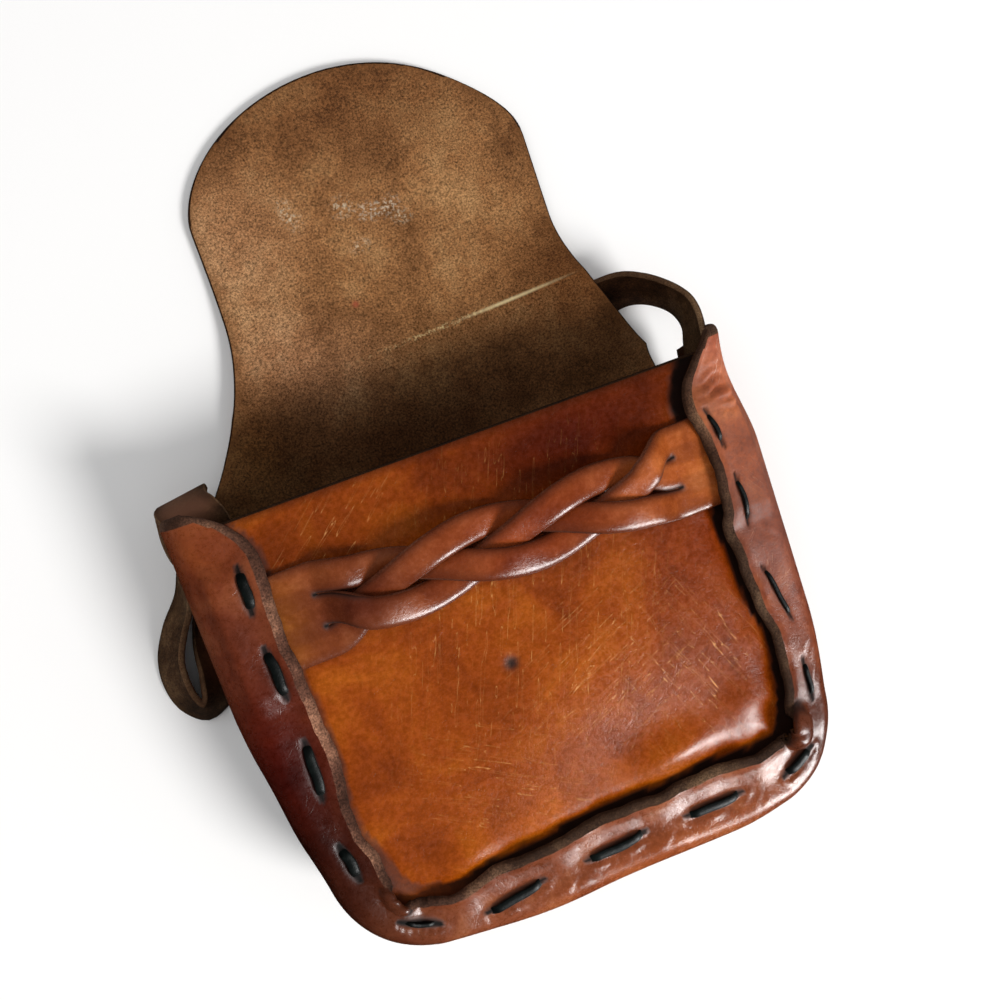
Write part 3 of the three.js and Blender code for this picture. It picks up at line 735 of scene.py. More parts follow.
def lace_relief(x, y):
    """How the front flange sinks at stitches and swells between them, and the slits' painted shade."""
    relief, slit = np.zeros(x.shape), np.zeros(x.shape)
    right_wall = smooth(60, 95, x) * smooth(-95, -60, y)
    pinch = (0.45 + 0.55 * smooth(-99, -88, x)) * (1 - 0.5 * right_wall)
    for stitch in STITCHES:
        start, along, aside, length = stitch_frame(stitch)
        a = (x - start[0]) * along[0] + (y - start[1]) * along[1]
        b = (x - start[0]) * aside[0] + (y - start[1]) * aside[1]
        share = np.clip(1 - ((a - length / 2) / (length / 2 + SLIT["beyond"])) ** 2, 0, 1)
        half = (SLIT["half"] - SLIT["less_at_right"] * right_wall) * np.sqrt(share) + 0.2
        opening = np.exp(-(b / half) ** 4) * smooth(0.0, 0.25, share)
        relief -= SLIT["depth"] * opening
        # painted shade inside the open slit
        slit = np.maximum(slit, np.exp(-(b / (half * 0.85)) ** 4) * smooth(0.02, 0.2, share))
        past_end = np.maximum(np.abs(a - length / 2) - length / 2, 0)
        around = np.hypot(np.maximum(np.abs(b) - half, 0), past_end * 0.8)
        relief -= DIP["depth"] * pinch * np.exp(-(around / DIP["reach"]) ** 2) * (1 - opening)
        swell = 0.6 + 0.4 * np.sin(a * 0.35 + start[0])
        pucker = LIP["pucker"] * np.sin(a * 1.9 + 0.6 * np.sin(a * 0.8 + start[1]))
        outside = smooth(90, 97, -y) * smooth(-1, 1, b)
        lip = (LIP["rise"] + LIP["more_outside"] * outside) * swell + pucker * outside
        relief += pinch * lip * np.exp(-((around - LIP["from_slit"]) / LIP["reach"]) ** 2)
    for (cx, cy), angle, reach, depth in CREASES:
        u = (x - cx) * math.cos(angle) + (y - cy) * math.sin(angle)
        v = (y - cy) * math.cos(angle) - (x - cx) * math.sin(angle) + 0.5 * np.sin(u * 0.6 + cx)
        ridge = FOLD["ridge_share"] * np.exp(-((v - FOLD["ridge_from"]) / FOLD["ridge_half"]) ** 2)
        relief -= depth * bell(u, reach) * (np.exp(-(v / FOLD["half"]) ** 2) - ridge)
    return relief, slit


def corner_knobs(x, y):
    """The lumps that the spare leather makes at the lower corners, and painted shade beside them."""
    rise, knob, crevice = np.zeros(x.shape), np.zeros(x.shape), np.zeros(x.shape)
    for (cx, cy), half, (along_x, along_y), lift in KNOBS:
        v = (x - cx) * along_x + (y - cy) * along_y
        u = (x - cx) * along_y - (y - cy) * along_x
        away = np.hypot(u / half[0], v / half[1])
        lump = np.sqrt(np.clip(1 - away ** 2 / 1.7, 0, 1))
        rise, knob = rise + lift * lump, np.maximum(knob, lump)
        beside = 1 - smooth(-4, 2, (u - 0.4 * v) * (1 if cx > 0 else -1))
        # painted shade in the crevice round the lump
        crevice = np.maximum(crevice, 0.9 * np.exp(-((away - 1.38) / 0.24) ** 2) * beside)
    return rise, knob, crevice


print(len(STITCHES), "stitches,", len(CREASES), "creases,", len(KNOBS), "knobs")

# %% [markdown]
# The gusset also gives way to its neighbours: its flange climbs over the braid's ends, its wall
# is squeezed in by the strap's fold near the left ear, and the strap lifts it where it crosses
# under the bag. Then everything is put together and the sheet is made.

# %% Gusset
BRAID = {"middle": 35.5, "half_length": 107.0, "slit": 79.0, "strand": 13.1, "thickness": 2.8}
KNOTS = [(PATH / 2 - 116, 2.5, 20.0), (PATH / 2 + 120, 1.5, 22.0)]  # path place, lift, reach
CROSSING = {"x": -108.0, "y": 50.0, "slope": 0.55, "half": 17.0, "reach": 38.0, "inner": -60.0,
            "full": -77.0, "lift": 3.3}
SQUEEZE = {"depth": 8.0, "from": 40.0, "to": 62.0}
MOUTH_SLANT = 8.0
CURL = {"rise": 0.7, "more_right": 1.5, "reach": 8.0}
GUSSET_STEP = 1.3
FRONT_HALF = 56.0  # about how long the front half of the section is


def under_strap(x, y, spread=0.0):
    """How far the strap lifts what lies on it, where it crosses under the bag's left side."""
    along = CROSSING["y"] + CROSSING["slope"] * (x - CROSSING["x"])
    near = 1 - smooth(CROSSING["half"] + spread, CROSSING["reach"] + spread, np.abs(y - along))
    return CROSSING["lift"] * near * smooth(-CROSSING["inner"], -CROSSING["full"], -x)


def gusset_surface(s, shares):
    """Outer face at path distances s (rows) and shares 0..1 across the section (columns)."""
    s = np.asarray(s, float)[:, None]
    share = np.asarray(shares, float)[None, :]
    width = flange_width(s, True)
    front_start = np.interp(-width, -section[:TURN_POINTS, 0], section_length[:TURN_POINTS])
    back_end = np.interp(flange_width(s, False), section[-TURN_POINTS:, 0],
                         section_length[-TURN_POINTS:])
    length = np.where(
        share < 0.5,
        front_start + (middle_length - front_start) * share * 2,
        middle_length + (back_end - middle_length) * (share * 2 - 1))
    inward = np.interp(length, section_length, section[:, 0])
    level = np.interp(length, section_length, section[:, 1])
    x, y, out_x, out_y = wall_path(s)
    squeeze = SQUEEZE["depth"] * smooth(SQUEEZE["from"], SQUEEZE["to"], y) * (out_x < 0)
    inward_now = inward + squeeze * (1 - smooth(25, 29, level)) * smooth(4, 14, level)
    cut_back = MOUTH_SLANT * (out_x > 0) * smooth(60, BODY["mouth"], y) * (1 - smooth(8, 48, level))
    points = drawn_in(np.stack(
        [x - out_x * inward_now, y - out_y * inward_now - cut_back, level], axis=-1))
    px, py = points[..., 0], points[..., 1]

    over_braid = (BRAID["thickness"] + 0.6) * (1 - smooth(23, 33, np.abs(y - BRAID["middle"])))
    rise = over_braid * np.abs(out_x) * smooth(6, 12, inward)
    for knot_at, knot_lift, reach in KNOTS:
        rise = rise + knot_lift * bell(s - knot_at, reach) * smooth(12, 24, inward)
    relief, slit = lace_relief(px, py)
    knob_rise, knob, crevice = corner_knobs(px, py)
    rise = rise + relief * (1 - 0.8 * knob) + knob_rise
    # The slits and the crevices beside the knobs are painted dark with shade.
    slit = np.maximum(slit, crevice)
    gathered = sum(bell(s - knot_at, 34) for knot_at, _, _ in KNOTS)
    wavy = 1 + 0.4 * np.sin(s * 0.13 + 1) + 0.3 * np.sin(s * 0.31)
    curl = (CURL["rise"] + CURL["more_right"] * smooth(-96, -70, x)) * (1 - 0.9 * gathered) * wavy
    rise = rise + curl * (1 - smooth(0, CURL["reach"], width - inward)) * smooth(8, 20, inward)

    front = smooth(WALL_MIDDLE, BODY["height"], level)
    points[..., 2] += front * rise + (1 - smooth(5, 12, level)) * under_strap(px, py)
    return points, length - front_start, back_end - length, slit * front, knob * front


rows_s = edge_spaced(PATH, GUSSET_STEP)
front_places = edge_spaced(2 * FRONT_HALF, 1.15, 3.4)
back_places = edge_spaced(2 * FRONT_HALF, 2.4)
shares = np.unique(np.concatenate([
    front_places[front_places < FRONT_HALF] / (2 * FRONT_HALF),
    back_places[back_places >= FRONT_HALF] / (2 * FRONT_HALF)]))
gusset_outer, from_front, from_back, slit, knob = gusset_surface(rows_s, shares)
from_ends = np.minimum(rows_s, PATH - rows_s)[:, None]
edge = np.minimum(np.minimum(from_front, from_back), from_ends)
gusset = leather_sheet("gusset_leather", gusset_outer, edge, rounding=(2.6, 3.8, 0.5),
                       raw_within=3.8, inner_skip=3, shade_and_stain=slit, smooth_over=6 * knob,
                       materials=(gusset_brown, inner_flesh, raw_edge))
settle(gusset, "gusset_leather", "gusset")

# %% [markdown]
# The front panel is one flat sheet with a free top edge. It bulges a little between the flanges,
# as a stiff panel does once it is laced all round; it sinks under the flange's raw edge, where it
# lies in shadow, and bellies out above the tightest stitches. Cloth simulation would guess these
# shapes; distances from the raw edge put them where they are.

# %% Front panel's grid


def rounded_half_width(y, half, bottom, radius):
    rise = np.clip(radius - (y - bottom), 0, radius)
    return half - radius + np.sqrt(radius ** 2 - rise ** 2)


CORNER_ROWS = 20
PANEL_STEP = 1.7
lower = PANEL["bottom"] + PANEL["corner"] * (1 - np.cos(np.linspace(0, math.pi / 2, CORNER_ROWS)))
above = PANEL["top"] - edge_spaced(2 * (PANEL["top"] - lower[-1]), PANEL_STEP)
y = np.concatenate([lower, np.sort(above[above > lower[-1] + 1.2])])
half = rounded_half_width(y, PANEL["half_width"], PANEL["bottom"], PANEL["corner"])
half = half - 1.5 * smooth(PANEL["top"] - 3, PANEL["top"], y)
across = edge_spaced(2, PANEL_STEP / PANEL["half_width"], 0.011) - 1
x = half[:, None] * across[None, :]
y_grid = np.broadcast_to(y[:, None], x.shape)
print("front panel's grid", x.shape)

# %% Front panel
SINK = {"drop": 3.3, "under": -4.0, "within": 7.5, "wider_right": 6.0, "mouth_free": (12, 28)}
SHADE = {"reach": 1.8, "more_near_right_ear": 3.4}
DENT = {"x": -14.1, "y": -13.7, "reach": 2.6, "depth": 0.9}
SWELLS = [  # x, y, reach along the bottom, reach across it, height: where the front bellies out
    (40, -78, 17, 9.0, 3.4), (75, -71, 9, 9, 1.3), (-57, -83, 12, 7, 1.6),
]


def from_raw_edge(x, y):
    """Distance of panel points from the gusset's raw edge, positive where they show."""
    rim = gusset_outer[:, 0, :2]
    inward = unit_rows(rim - gusset_outer[:, 6, :2])
    shown = np.empty(x.shape)
    for row in range(len(x)):
        offsets = np.stack([x[row], y[row]], axis=-1)[:, None] - rim[None]
        nearest = np.hypot(offsets[..., 0], offsets[..., 1]).argmin(axis=1)
        here = offsets[np.arange(len(nearest)), nearest]
        shown[row] = np.sum(here * inward[nearest], axis=1)
    return shown


dome = PANEL["dome"] * bell(x, 88) * bell(y_grid + 38, 50)
ripple = 0.35 * np.sin(x / 23 + 1) * np.sin(y_grid / 31 + 2)
dent = np.exp(-((x - DENT["x"]) ** 2 + (y_grid - DENT["y"]) ** 2) / DENT["reach"] ** 2)
level = BODY["height"] + dome + ripple * bell(x, 85) * bell(y_grid + 15, 70) - DENT["depth"] * dent
shown = from_raw_edge(x, y_grid)
from_left = smooth(-88, -50, x)
within = SINK["within"] + SINK["wider_right"] * smooth(0, 60, x)
sunk = (1 - smooth(SINK["under"], within, shown)) * (1 - smooth(*SINK["mouth_free"], y_grid))
sunk = sunk * (0.3 + 0.7 * from_left) * (0.88 + 0.12 * np.sin(x / 12 + y_grid / 9))
level = level - SINK["drop"] * sunk
for swell_x, swell_y, along, across, height in SWELLS:
    level = level + height * np.exp(-((x - swell_x) / along) ** 2 - ((y_grid - swell_y) / across) ** 2)
# Painted shade in the gap under the raw edge, reaching further near the right ear; the dent keeps its real
# dark stain.
dark_reach = SHADE["reach"] + SHADE["more_near_right_ear"] * smooth(35, 60, y_grid) * (x > 0)
shade = (1 - smooth(0.5, 1.0, shown / dark_reach)) * (0.5 + 0.45 * from_left)
outer = drawn_in(np.stack([x, y_grid, level], axis=-1))
edge = np.minimum(half[:, None] - np.abs(x), PANEL["top"] - y_grid)
edge = np.minimum(edge, np.maximum(y_grid - PANEL["bottom"], 0))
front_panel = leather_sheet("front_panel_leather", outer, edge, shade_and_stain=np.maximum(0.8 * dent, shade),
                            materials=(panel_tan, inner_flesh, dark_edge))
settle(front_panel, "tan_leather", "front_panel")

# %% [markdown]
# The back panel and the flap are one sheet. The flap narrows from the mouth to a waist, swells a
# little and ends round; it lies flesh side up, arches over the strap at its right and settles on
# the floor. A fold line crosses it where it bends over the bag's mouth when the bag is closed.
# Its outline is a few named widths joined by soft curves, which stay smooth at any spacing.

# %% Back panel and flap
FLAP = {"half_width": 76.8, "base": 103.5, "waist_at": 156.0, "centre": 3.4, "round_from": 196.0,
        "tip": 245.2, "trim": 3.2}
ARCH = {"x": 88.0, "y": 116.0, "reach": 44.0, "lift": 14.0}
FOLD_LINE = {"from": (-37.0, 122.0), "to": (80.0, 129.0), "rise": 0.8, "half": 3.5}
FLAP_STEP = 2.6
TIP_ROWS = 34
back_under = flange_under + LEATHER + SEAT


def back_half_width(y):
    """Half the sheet's width at each height: the panel, then the waist, then the round end."""
    lower = rounded_half_width(np.minimum(y, 70), PANEL["half_width"], PANEL["bottom"], PANEL["corner"])
    lower = lower + (FLAP["base"] - PANEL["half_width"]) * smooth(60, BODY["mouth"], y)
    up = np.clip((y - BODY["mouth"]) / (FLAP["waist_at"] - BODY["mouth"]), 0, 1)
    waist = FLAP["base"] + (FLAP["half_width"] - FLAP["base"]) * (1 - (1 - up) ** 2)
    end = np.clip((y - FLAP["round_from"]) / (FLAP["tip"] - FLAP["round_from"]), 0, 1)
    tip = FLAP["half_width"] * np.sqrt(np.maximum(0.0012, 1 - end ** 1.7))
    return np.where(y <= BODY["mouth"], lower, np.where(y <= FLAP["round_from"], waist, tip))


end_turn = np.linspace(0, math.pi / 2, TIP_ROWS)[1:]
tip_rows = FLAP["round_from"] + (FLAP["tip"] - FLAP["round_from"]) * np.sin(end_turn)
y = np.concatenate([
    lower, np.arange(lower[-1] + FLAP_STEP, FLAP["round_from"] + 0.1, FLAP_STEP), tip_rows])
half = back_half_width(y)
across = edge_spaced(2, FLAP_STEP / 90, 0.013) - 1
y_grid = np.broadcast_to(y[:, None], (len(y), len(across)))
x = FLAP["centre"] * smooth(80, 180, y_grid) + half[:, None] * across[None, :]
x = x - FLAP["trim"] * bell(y_grid - 228, 26) * np.maximum(across[None, :], 0)
rest = back_under * (1 - smooth(122, 178, y_grid))
under = rest + 1.1 * under_strap(x, y_grid, 6.0)
under = under + ARCH["lift"] * bell(np.hypot(x - ARCH["x"], y_grid - ARCH["y"]), ARCH["reach"])
wave = 0.5 + 0.5 * np.sin(x / 27 + 0.6) * np.sin(y_grid / 33 - 0.8)
under = under + 1.6 * wave * smooth(100, 130, y_grid)
(line_x, line_y), (end_x, end_y) = FOLD_LINE["from"], FOLD_LINE["to"]
fold_y = line_y + (end_y - line_y) * (x - line_x) / (end_x - line_x)
under = under + FOLD_LINE["rise"] * np.exp(-((y_grid - fold_y) / FOLD_LINE["half"]) ** 2)
outer = drawn_in(np.stack([x, y_grid, under + LEATHER], axis=-1))
x, y_grid = outer[..., 0], outer[..., 1]
outline = np.concatenate([
    outer[:, 0, :2], outer[-1, :, :2], outer[::-1, -1, :2], outer[0, ::-1, :2]])


def distance_to_line(x, y, line):
    """Distance of grid points to a closed line of points."""
    starts, ends = line, np.roll(line, -1, axis=0)
    best = np.full(x.shape, 1e9)
    for (ax, ay), (bx, by) in zip(starts, ends):
        run = max((bx - ax) ** 2 + (by - ay) ** 2, 1e-12)
        t = np.clip(((x - ax) * (bx - ax) + (y - ay) * (by - ay)) / run, 0, 1)
        best = np.minimum(best, np.hypot(x - ax - t * (bx - ax), y - ay - t * (by - ay)))
    return best


edge = distance_to_line(x, y_grid, outline)
flap = leather_sheet("back_panel_and_flap", outer, edge, materials=(flap_flesh, panel_tan, dark_edge))
settle(flap, "back_leather", "back_panel_flap")

# %% [markdown]
# A strip with a route is used for the braid's strands and for the shoulder strap: each stop has a
# centre and the direction across the strip. A bevelled curve would twist as it likes; here the
# direction across says at each stop which way the strip's face looks.

# %% Strips along a route


def strip_surface(centres, leans, widths, step=1.2, round_over=1.0):
    """The outer face of a strip, its distance to the edges and its normals."""
    along = unit_rows(np.gradient(centres, axis=0))
    across = unit_rows(leans - along * np.sum(leans * along, axis=1, keepdims=True))
    face = np.cross(across, along)
    share = edge_spaced(widths.max(), step, round_over) / widths.max() - 0.5
    sideways = share[None, :] * widths[:, None]
    points = centres[:, None, :] + across[:, None, :] * sideways[..., None]
    normals = np.broadcast_to(face[:, None, :], points.shape)
    run = np.concatenate([[0], np.cumsum(np.linalg.norm(np.diff(centres, axis=0), axis=1))])
    from_side = widths[:, None] / 2 - np.abs(sideways)
    from_end = np.minimum(run, run[-1] - run)[:, None]
    return points, normals, from_side, from_end


print("strips for the braid and the strap")

# %% [markdown]
# The braid is one strip with two slits. Its three strands swap places six times, so both ends
# stay whole. Side to side each strand follows a cosine, a third of a turn behind the last, and
# it rises and falls twice as often; it also rolls towards the side that it is heading for. The
# three are made as sheets and welded where the strip is whole.

# %% Braid
WEAVE = {"sway": 10.2, "rise": 4.2, "narrow": 13.0, "roll": 0.42, "domed": 1.1, "clear": 0.5}
END_PLACES = np.array([0.0, 0.8, 9.0])  # few rows where the strip lies flat under the flange
WEAVE_POINTS = 201
braid_flat = BODY["height"] + SEAT + 0.1 + BRAID["thickness"] / 2
braid_middle = BODY["height"] + SEAT + WEAVE["rise"] + BRAID["thickness"] / 2 + WEAVE["clear"]
braid_pieces = []
for strand in range(3):
    x = np.concatenate([
        END_PLACES - BRAID["half_length"],
        np.linspace(-BRAID["slit"] - 8, BRAID["slit"] + 8, WEAVE_POINTS),
        BRAID["half_length"] - END_PLACES[::-1]])
    share = (x + BRAID["slit"]) / (2 * BRAID["slit"])
    from_slit = np.minimum(share, 1 - share)
    rising = smooth(0, 0.1, from_slit)
    swaying = smooth(0.01, 0.13, from_slit)
    turn_by = 2 * math.pi * (share - 1 / 12) + (0, 2 * math.pi / 3, -2 * math.pi / 3)[strand]
    slot = BRAID["strand"] * (1 - strand)
    sideways = slot * (1 - swaying) + WEAVE["sway"] * np.cos(turn_by) * swaying
    height = braid_flat + (braid_middle - WEAVE["rise"] * np.sin(2 * turn_by) - braid_flat) * rising
    roll = WEAVE["roll"] * np.sin(turn_by) * np.cos(2 * turn_by) * smooth(0.03, 0.18, from_slit)
    centres = np.stack([x, BRAID["middle"] + sideways, height], axis=1)
    leans = np.stack([0 * x, -np.cos(roll), -np.sin(roll)], axis=1)
    widths = BRAID["strand"] * (1 - swaying) + WEAVE["narrow"] * swaying
    points, normals, from_side, from_end = strip_surface(centres, leans, widths)

    # Where the strip is whole, a strand has no rim on its inner side; past the slit it has one.
    whole = from_slit <= 0
    still_whole = 1 - smooth(0, 0.02, from_slit)
    half_share = np.linspace(-1, 1, points.shape[1])[None, :]
    inner_side = (half_share > 0, half_share <= 1, half_share < 0)[strand]
    # Painted shade along the inner side of each slit near its ends, where the strands part.
    slit_reach = smooth(-0.004, 0.004, from_slit) * (1 - smooth(0.06, 0.14, from_slit))
    slit_shade = np.where(inner_side, np.exp(-(from_side / 1.1) ** 2), 0) * slit_reach[:, None]
    no_rim = np.minimum(widths / 2, 3.0)[:, None] * still_whole[:, None]
    from_side = np.where(inner_side, np.maximum(from_side, no_rim), from_side)
    domed = WEAVE["domed"] * (1 - half_share ** 2) * rising[:, None]
    braid_pieces.append(leather_sheet(
        f"braid_strand_{strand + 1}", points + normals * (BRAID["thickness"] / 2 + domed)[..., None],
        np.minimum(from_side, from_end), BRAID["thickness"], rounding=(1.5, 3.0, 0.7),
        normals=normals, raw_within=0.4, shade_and_stain=slit_shade,
        welded=(whole if strand else None, whole if strand < 2 else None),
        materials=(braid_brown, inner_flesh, braid_edge)))

bpy.ops.object.select_all(action="DESELECT")
for piece in braid_pieces:
    piece.select_set(True)
bpy.context.view_layer.objects.active = braid_pieces[0]
bpy.ops.object.join()
braid = braid_pieces[0]
braid.name = "front_braid_leather"
weld = bmesh.new()
weld.from_mesh(braid.data)
bmesh.ops.remove_doubles(weld, verts=weld.verts, dist=0.02 * MM)
weld.to_mesh(braid.data)
weld.free()
settle(braid, "braid_leather", "front_braid")

# %% [markdown]
# The shoulder strap is one strip too. From inside the gusset's right end it arcs to the left,
# dips under the flap and the back, turns back outside the left wall, then twists over and bends up
# into the other end. Its stops are chosen and are close to those of the imported model. A
# smooth curve through the stops is safer than a simulated strap, which would never lie the same.

# %% Shoulder strap
STRAP = {"width": 22.0, "thickness": 3.0, "tip_share": 0.85, "taper_points": 24}
ROUTE_STEP = 1.5
STRAP_STOPS = [  # centre, direction across
    ((118.4, 46, 38), (0, 0, 1)), ((118.2, 70, 39), (0, 0, 1)),
    ((117.8, 84, 40), (0, 0.1, 1)), ((118.4, 92, 37.5), (0, 0.4, 0.92)),
    ((117.8, 99, 32), (-0.1, 0.45, 0.9)), ((114.4, 106, 25), (-0.2, 0.5, 0.85)),
    ((107.5, 112, 17), (-0.2, 0.55, 0.82)), ((99, 115, 12), (-0.15, 0.65, 0.75)),
    ((88, 114, 8), (-0.1, 0.8, 0.6)), ((72, 110, 3.4), (-0.1, 0.97, 0.2)),
    ((52, 104, 1.5), (-0.2, 1, 0)), ((0, 88, 1.5), (-0.25, 1, 0)),
    ((-60, 71, 1.5), (-0.25, 1, 0)), ((-100, 57, 1.5), (-0.45, 0.9, 0)),
    ((-116, 45, 1.6), (-0.7, 0.7, 0.02)), ((-123.5, 30, 4.6), (-0.88, 0.35, 0.35)),
    ((-127.5, 16, 8.6), (-0.68, 0.25, 0.68)), ((-132.5, 6.2, 10.3), (-0.35, 0.4, 0.84)),
    ((-138.6, 3.2, 10.8), (0.08, 0.5, 0.86)), ((-143.8, 9, 10.4), (0.38, 0.4, 0.83)),
    ((-145.6, 18.5, 10), (0.52, 0.25, 0.82)), ((-144, 29.5, 9.8), (0.52, 0.05, 0.85)),
    ((-138.5, 40, 9.8), (0.42, -0.15, 0.9)), ((-130.5, 51, 10.4), (0.3, -0.15, 0.94)),
    ((-126.6, 62, 11.2), (0.2, 0, 0.97)), ((-125.4, 71, 11.6), (-0.15, 0, 0.98)),
    ((-123, 78.5, 12), (-0.5, -0.05, 0.86)), ((-119.8, 85, 12.4), (-0.82, -0.1, 0.57)),
    ((-116.4, 90.4, 16), (-0.97, -0.14, 0.2)), ((-114.4, 92.4, 24), (-0.98, -0.15, 0)),
    ((-114, 92.4, 32), (-0.98, -0.15, 0)), ((-113.8, 91.6, 40), (-0.99, -0.12, 0.02)),
    ((-113.2, 89.6, 46), (-1, -0.05, 0.02)), ((-110.6, 85.6, 49.2), (-1, 0.15, 0.05)),
    ((-108.2, 78, 48.4), (-0.9, 0.1, 0.4)), ((-111, 66, 44.5), (-0.55, 0, 0.83)),
    ((-118.2, 50, 41.5), (0, 0, 1)),
]


def smooth_route(stops, spacing):
    """Points along a centripetal Catmull-Rom curve through the stops."""
    stops = np.asarray(stops, float)
    ends = np.concatenate([[2 * stops[0] - stops[1]], stops, [2 * stops[-1] - stops[-2]]])
    pieces = []
    for i in range(len(stops) - 1):
        p = ends[i:i + 4]
        gaps = np.linalg.norm(np.diff(p[:, :3], axis=0), axis=1) ** 0.5
        t0, t1, t2, t3 = np.concatenate([[0], np.cumsum(gaps)])
        count = max(2, round(np.linalg.norm(stops[i + 1, :3] - stops[i, :3]) / spacing))
        t = np.linspace(t1, t2, count, endpoint=False)[:, None]
        a1 = (t1 - t) / (t1 - t0) * p[0] + (t - t0) / (t1 - t0) * p[1]
        a2 = (t2 - t) / (t2 - t1) * p[1] + (t - t1) / (t2 - t1) * p[2]
        a3 = (t3 - t) / (t3 - t2) * p[2] + (t - t2) / (t3 - t2) * p[3]
        b1 = (t2 - t) / (t2 - t0) * a1 + (t - t0) / (t2 - t0) * a2
        b2 = (t3 - t) / (t3 - t1) * a2 + (t - t1) / (t3 - t1) * a3
        pieces.append((t2 - t) / (t2 - t1) * b1 + (t - t1) / (t2 - t1) * b2)
    pieces.append(stops[-1:])
    return np.concatenate(pieces)


strap_route = smooth_route([centre + lean for centre, lean in STRAP_STOPS], ROUTE_STEP)
centres, leans = strap_route[:, :3], strap_route[:, 3:]
centres = np.where(centres[:, :1] > 0, drawn_in(centres), centres)
along = unit_rows(np.gradient(centres, axis=0))
across = unit_rows(leans - along * np.sum(leans * along, axis=1, keepdims=True))
face = np.cross(across, along)
half_height = (np.abs(across[:, 2]) * STRAP["width"] + np.abs(face[:, 2]) * STRAP["thickness"]) / 2
centres[:, 2] = np.maximum(centres[:, 2], half_height)  # nothing goes under the floor
strap_length = np.linalg.norm(np.diff(centres, axis=0), axis=1).sum()
print("strap length", round(strap_length), "mm")
count = np.arange(len(centres))
from_tip = np.minimum(count, len(centres) - 1 - count)
tapering = smooth(0, STRAP["taper_points"], from_tip)
widths = STRAP["width"] * (STRAP["tip_share"] + (1 - STRAP["tip_share"]) * tapering)
points, normals, from_side, from_end = strip_surface(centres, leans, widths)
points = points + normals * STRAP["thickness"] / 2
shoulder_strap = leather_sheet(
    "shoulder_strap_leather", points, np.minimum(from_side, from_end), STRAP["thickness"],
    rounding=(0.9, 0.9, 0.9), normals=normals, raw_within=0.6,
    materials=(strap_flesh, strap_grain, strap_edge))
settle(shoulder_strap, "strap_leather", "shoulder_strap")

# %% [markdown]
# The lace runs in and out of slits, so what shows is a row of bights. Geometry Nodes sweep one
# flat profile along the line of every bight at once: the lines come in as a plain mesh of edges.
# Twenty-six curves would do the same, but one tree keeps their width and thickness in one place.

# %% Lace tree


def sweep_tree(name):
    """A tree that sweeps a rounded flat profile along mesh lines, as wide as their radius says."""
    tree = bpy.data.node_groups.new(name, "GeometryNodeTree")
    interface = tree.interface
    interface.new_socket("Geometry", in_out="INPUT", socket_type="NodeSocketGeometry")
    for label, value in (("Width", 0.004), ("Thickness", 0.0013), ("Rounding", 0.0005)):
        socket = interface.new_socket(label, in_out="INPUT", socket_type="NodeSocketFloat")
        socket.default_value = value
    interface.new_socket("Material", in_out="INPUT", socket_type="NodeSocketMaterial")
    interface.new_socket("Geometry", in_out="OUTPUT", socket_type="NodeSocketGeometry")
    given = add_node(tree, "NodeGroupInput").outputs
    lines = add_node(tree, "GeometryNodeMeshToCurve", {"Mesh": given["Geometry"]})
    upright = add_node(tree, "GeometryNodeSetCurveNormal", {"Curve": lines.outputs["Curve"]},
                       mode="Z_UP")
    outline_shape = add_node(tree, "GeometryNodeCurvePrimitiveQuadrilateral", {
        "Width": given["Width"], "Height": given["Thickness"]})
    rounded = add_node(tree, "GeometryNodeFilletCurve", {
        "Curve": outline_shape.outputs["Curve"], "Radius": given["Rounding"]}, mode="POLY")
    thinning = add_node(tree, "GeometryNodeInputNamedAttribute", {"Name": "radius"})
    swept = add_node(tree, "GeometryNodeCurveToMesh", {
        "Curve": upright.outputs["Curve"], "Profile Curve": rounded.outputs["Curve"],
        "Scale": thinning.outputs["Attribute"], "Fill Caps": True})
    smooth_faces = add_node(tree, "GeometryNodeSetShadeSmooth", {"Geometry": swept.outputs["Mesh"]})
    real = add_node(tree, "GeometryNodeRealizeInstances", {"Geometry": smooth_faces.outputs["Geometry"]})
    painted = add_node(tree, "GeometryNodeSetMaterial", {
        "Geometry": real.outputs["Geometry"], "Material": given["Material"]})
    add_node(tree, "NodeGroupOutput", {"Geometry": painted.outputs["Geometry"]})
    return tree


def made_by_nodes(name, source, tree, **values):
    """Runs a tree on an object and returns the result as a plain mesh object."""
    modifier = source.modifiers.new(tree.name, "NODES")
    modifier.node_group = tree
    for item in tree.interface.items_tree:
        if item.item_type == "SOCKET" and item.in_out == "INPUT" and item.name in values:
            modifier[item.identifier] = values[item.name]
    bpy.context.view_layer.update()
    evaluated = source.evaluated_get(bpy.context.evaluated_depsgraph_get())
    mesh = bpy.data.meshes.new_from_object(evaluated)
    mesh.name = name
    piece = bpy.data.objects.new(name, mesh)
    bpy.context.scene.collection.objects.link(piece)
    bpy.data.objects.remove(source)
    print(name, len(mesh.polygons), "faces")
    return piece


print("a function runs the tree and keeps its result")

# %% Lace bights
DIVE = {"depth": 2.4, "reach": 4.5}  # how the lace goes down into a slit
LACE_ROUNDING = 0.45
BIGHT_POINTS = 19
lace_sweep = sweep_tree("sweep_lace")


def seen_share(x):
    """How much of the lace's width shows: the left wall's slits gape, the right wall's are shut."""
    if x < -95:
        return 1.0
    return 0.45 if x > 95 or x < -85 else 0.95


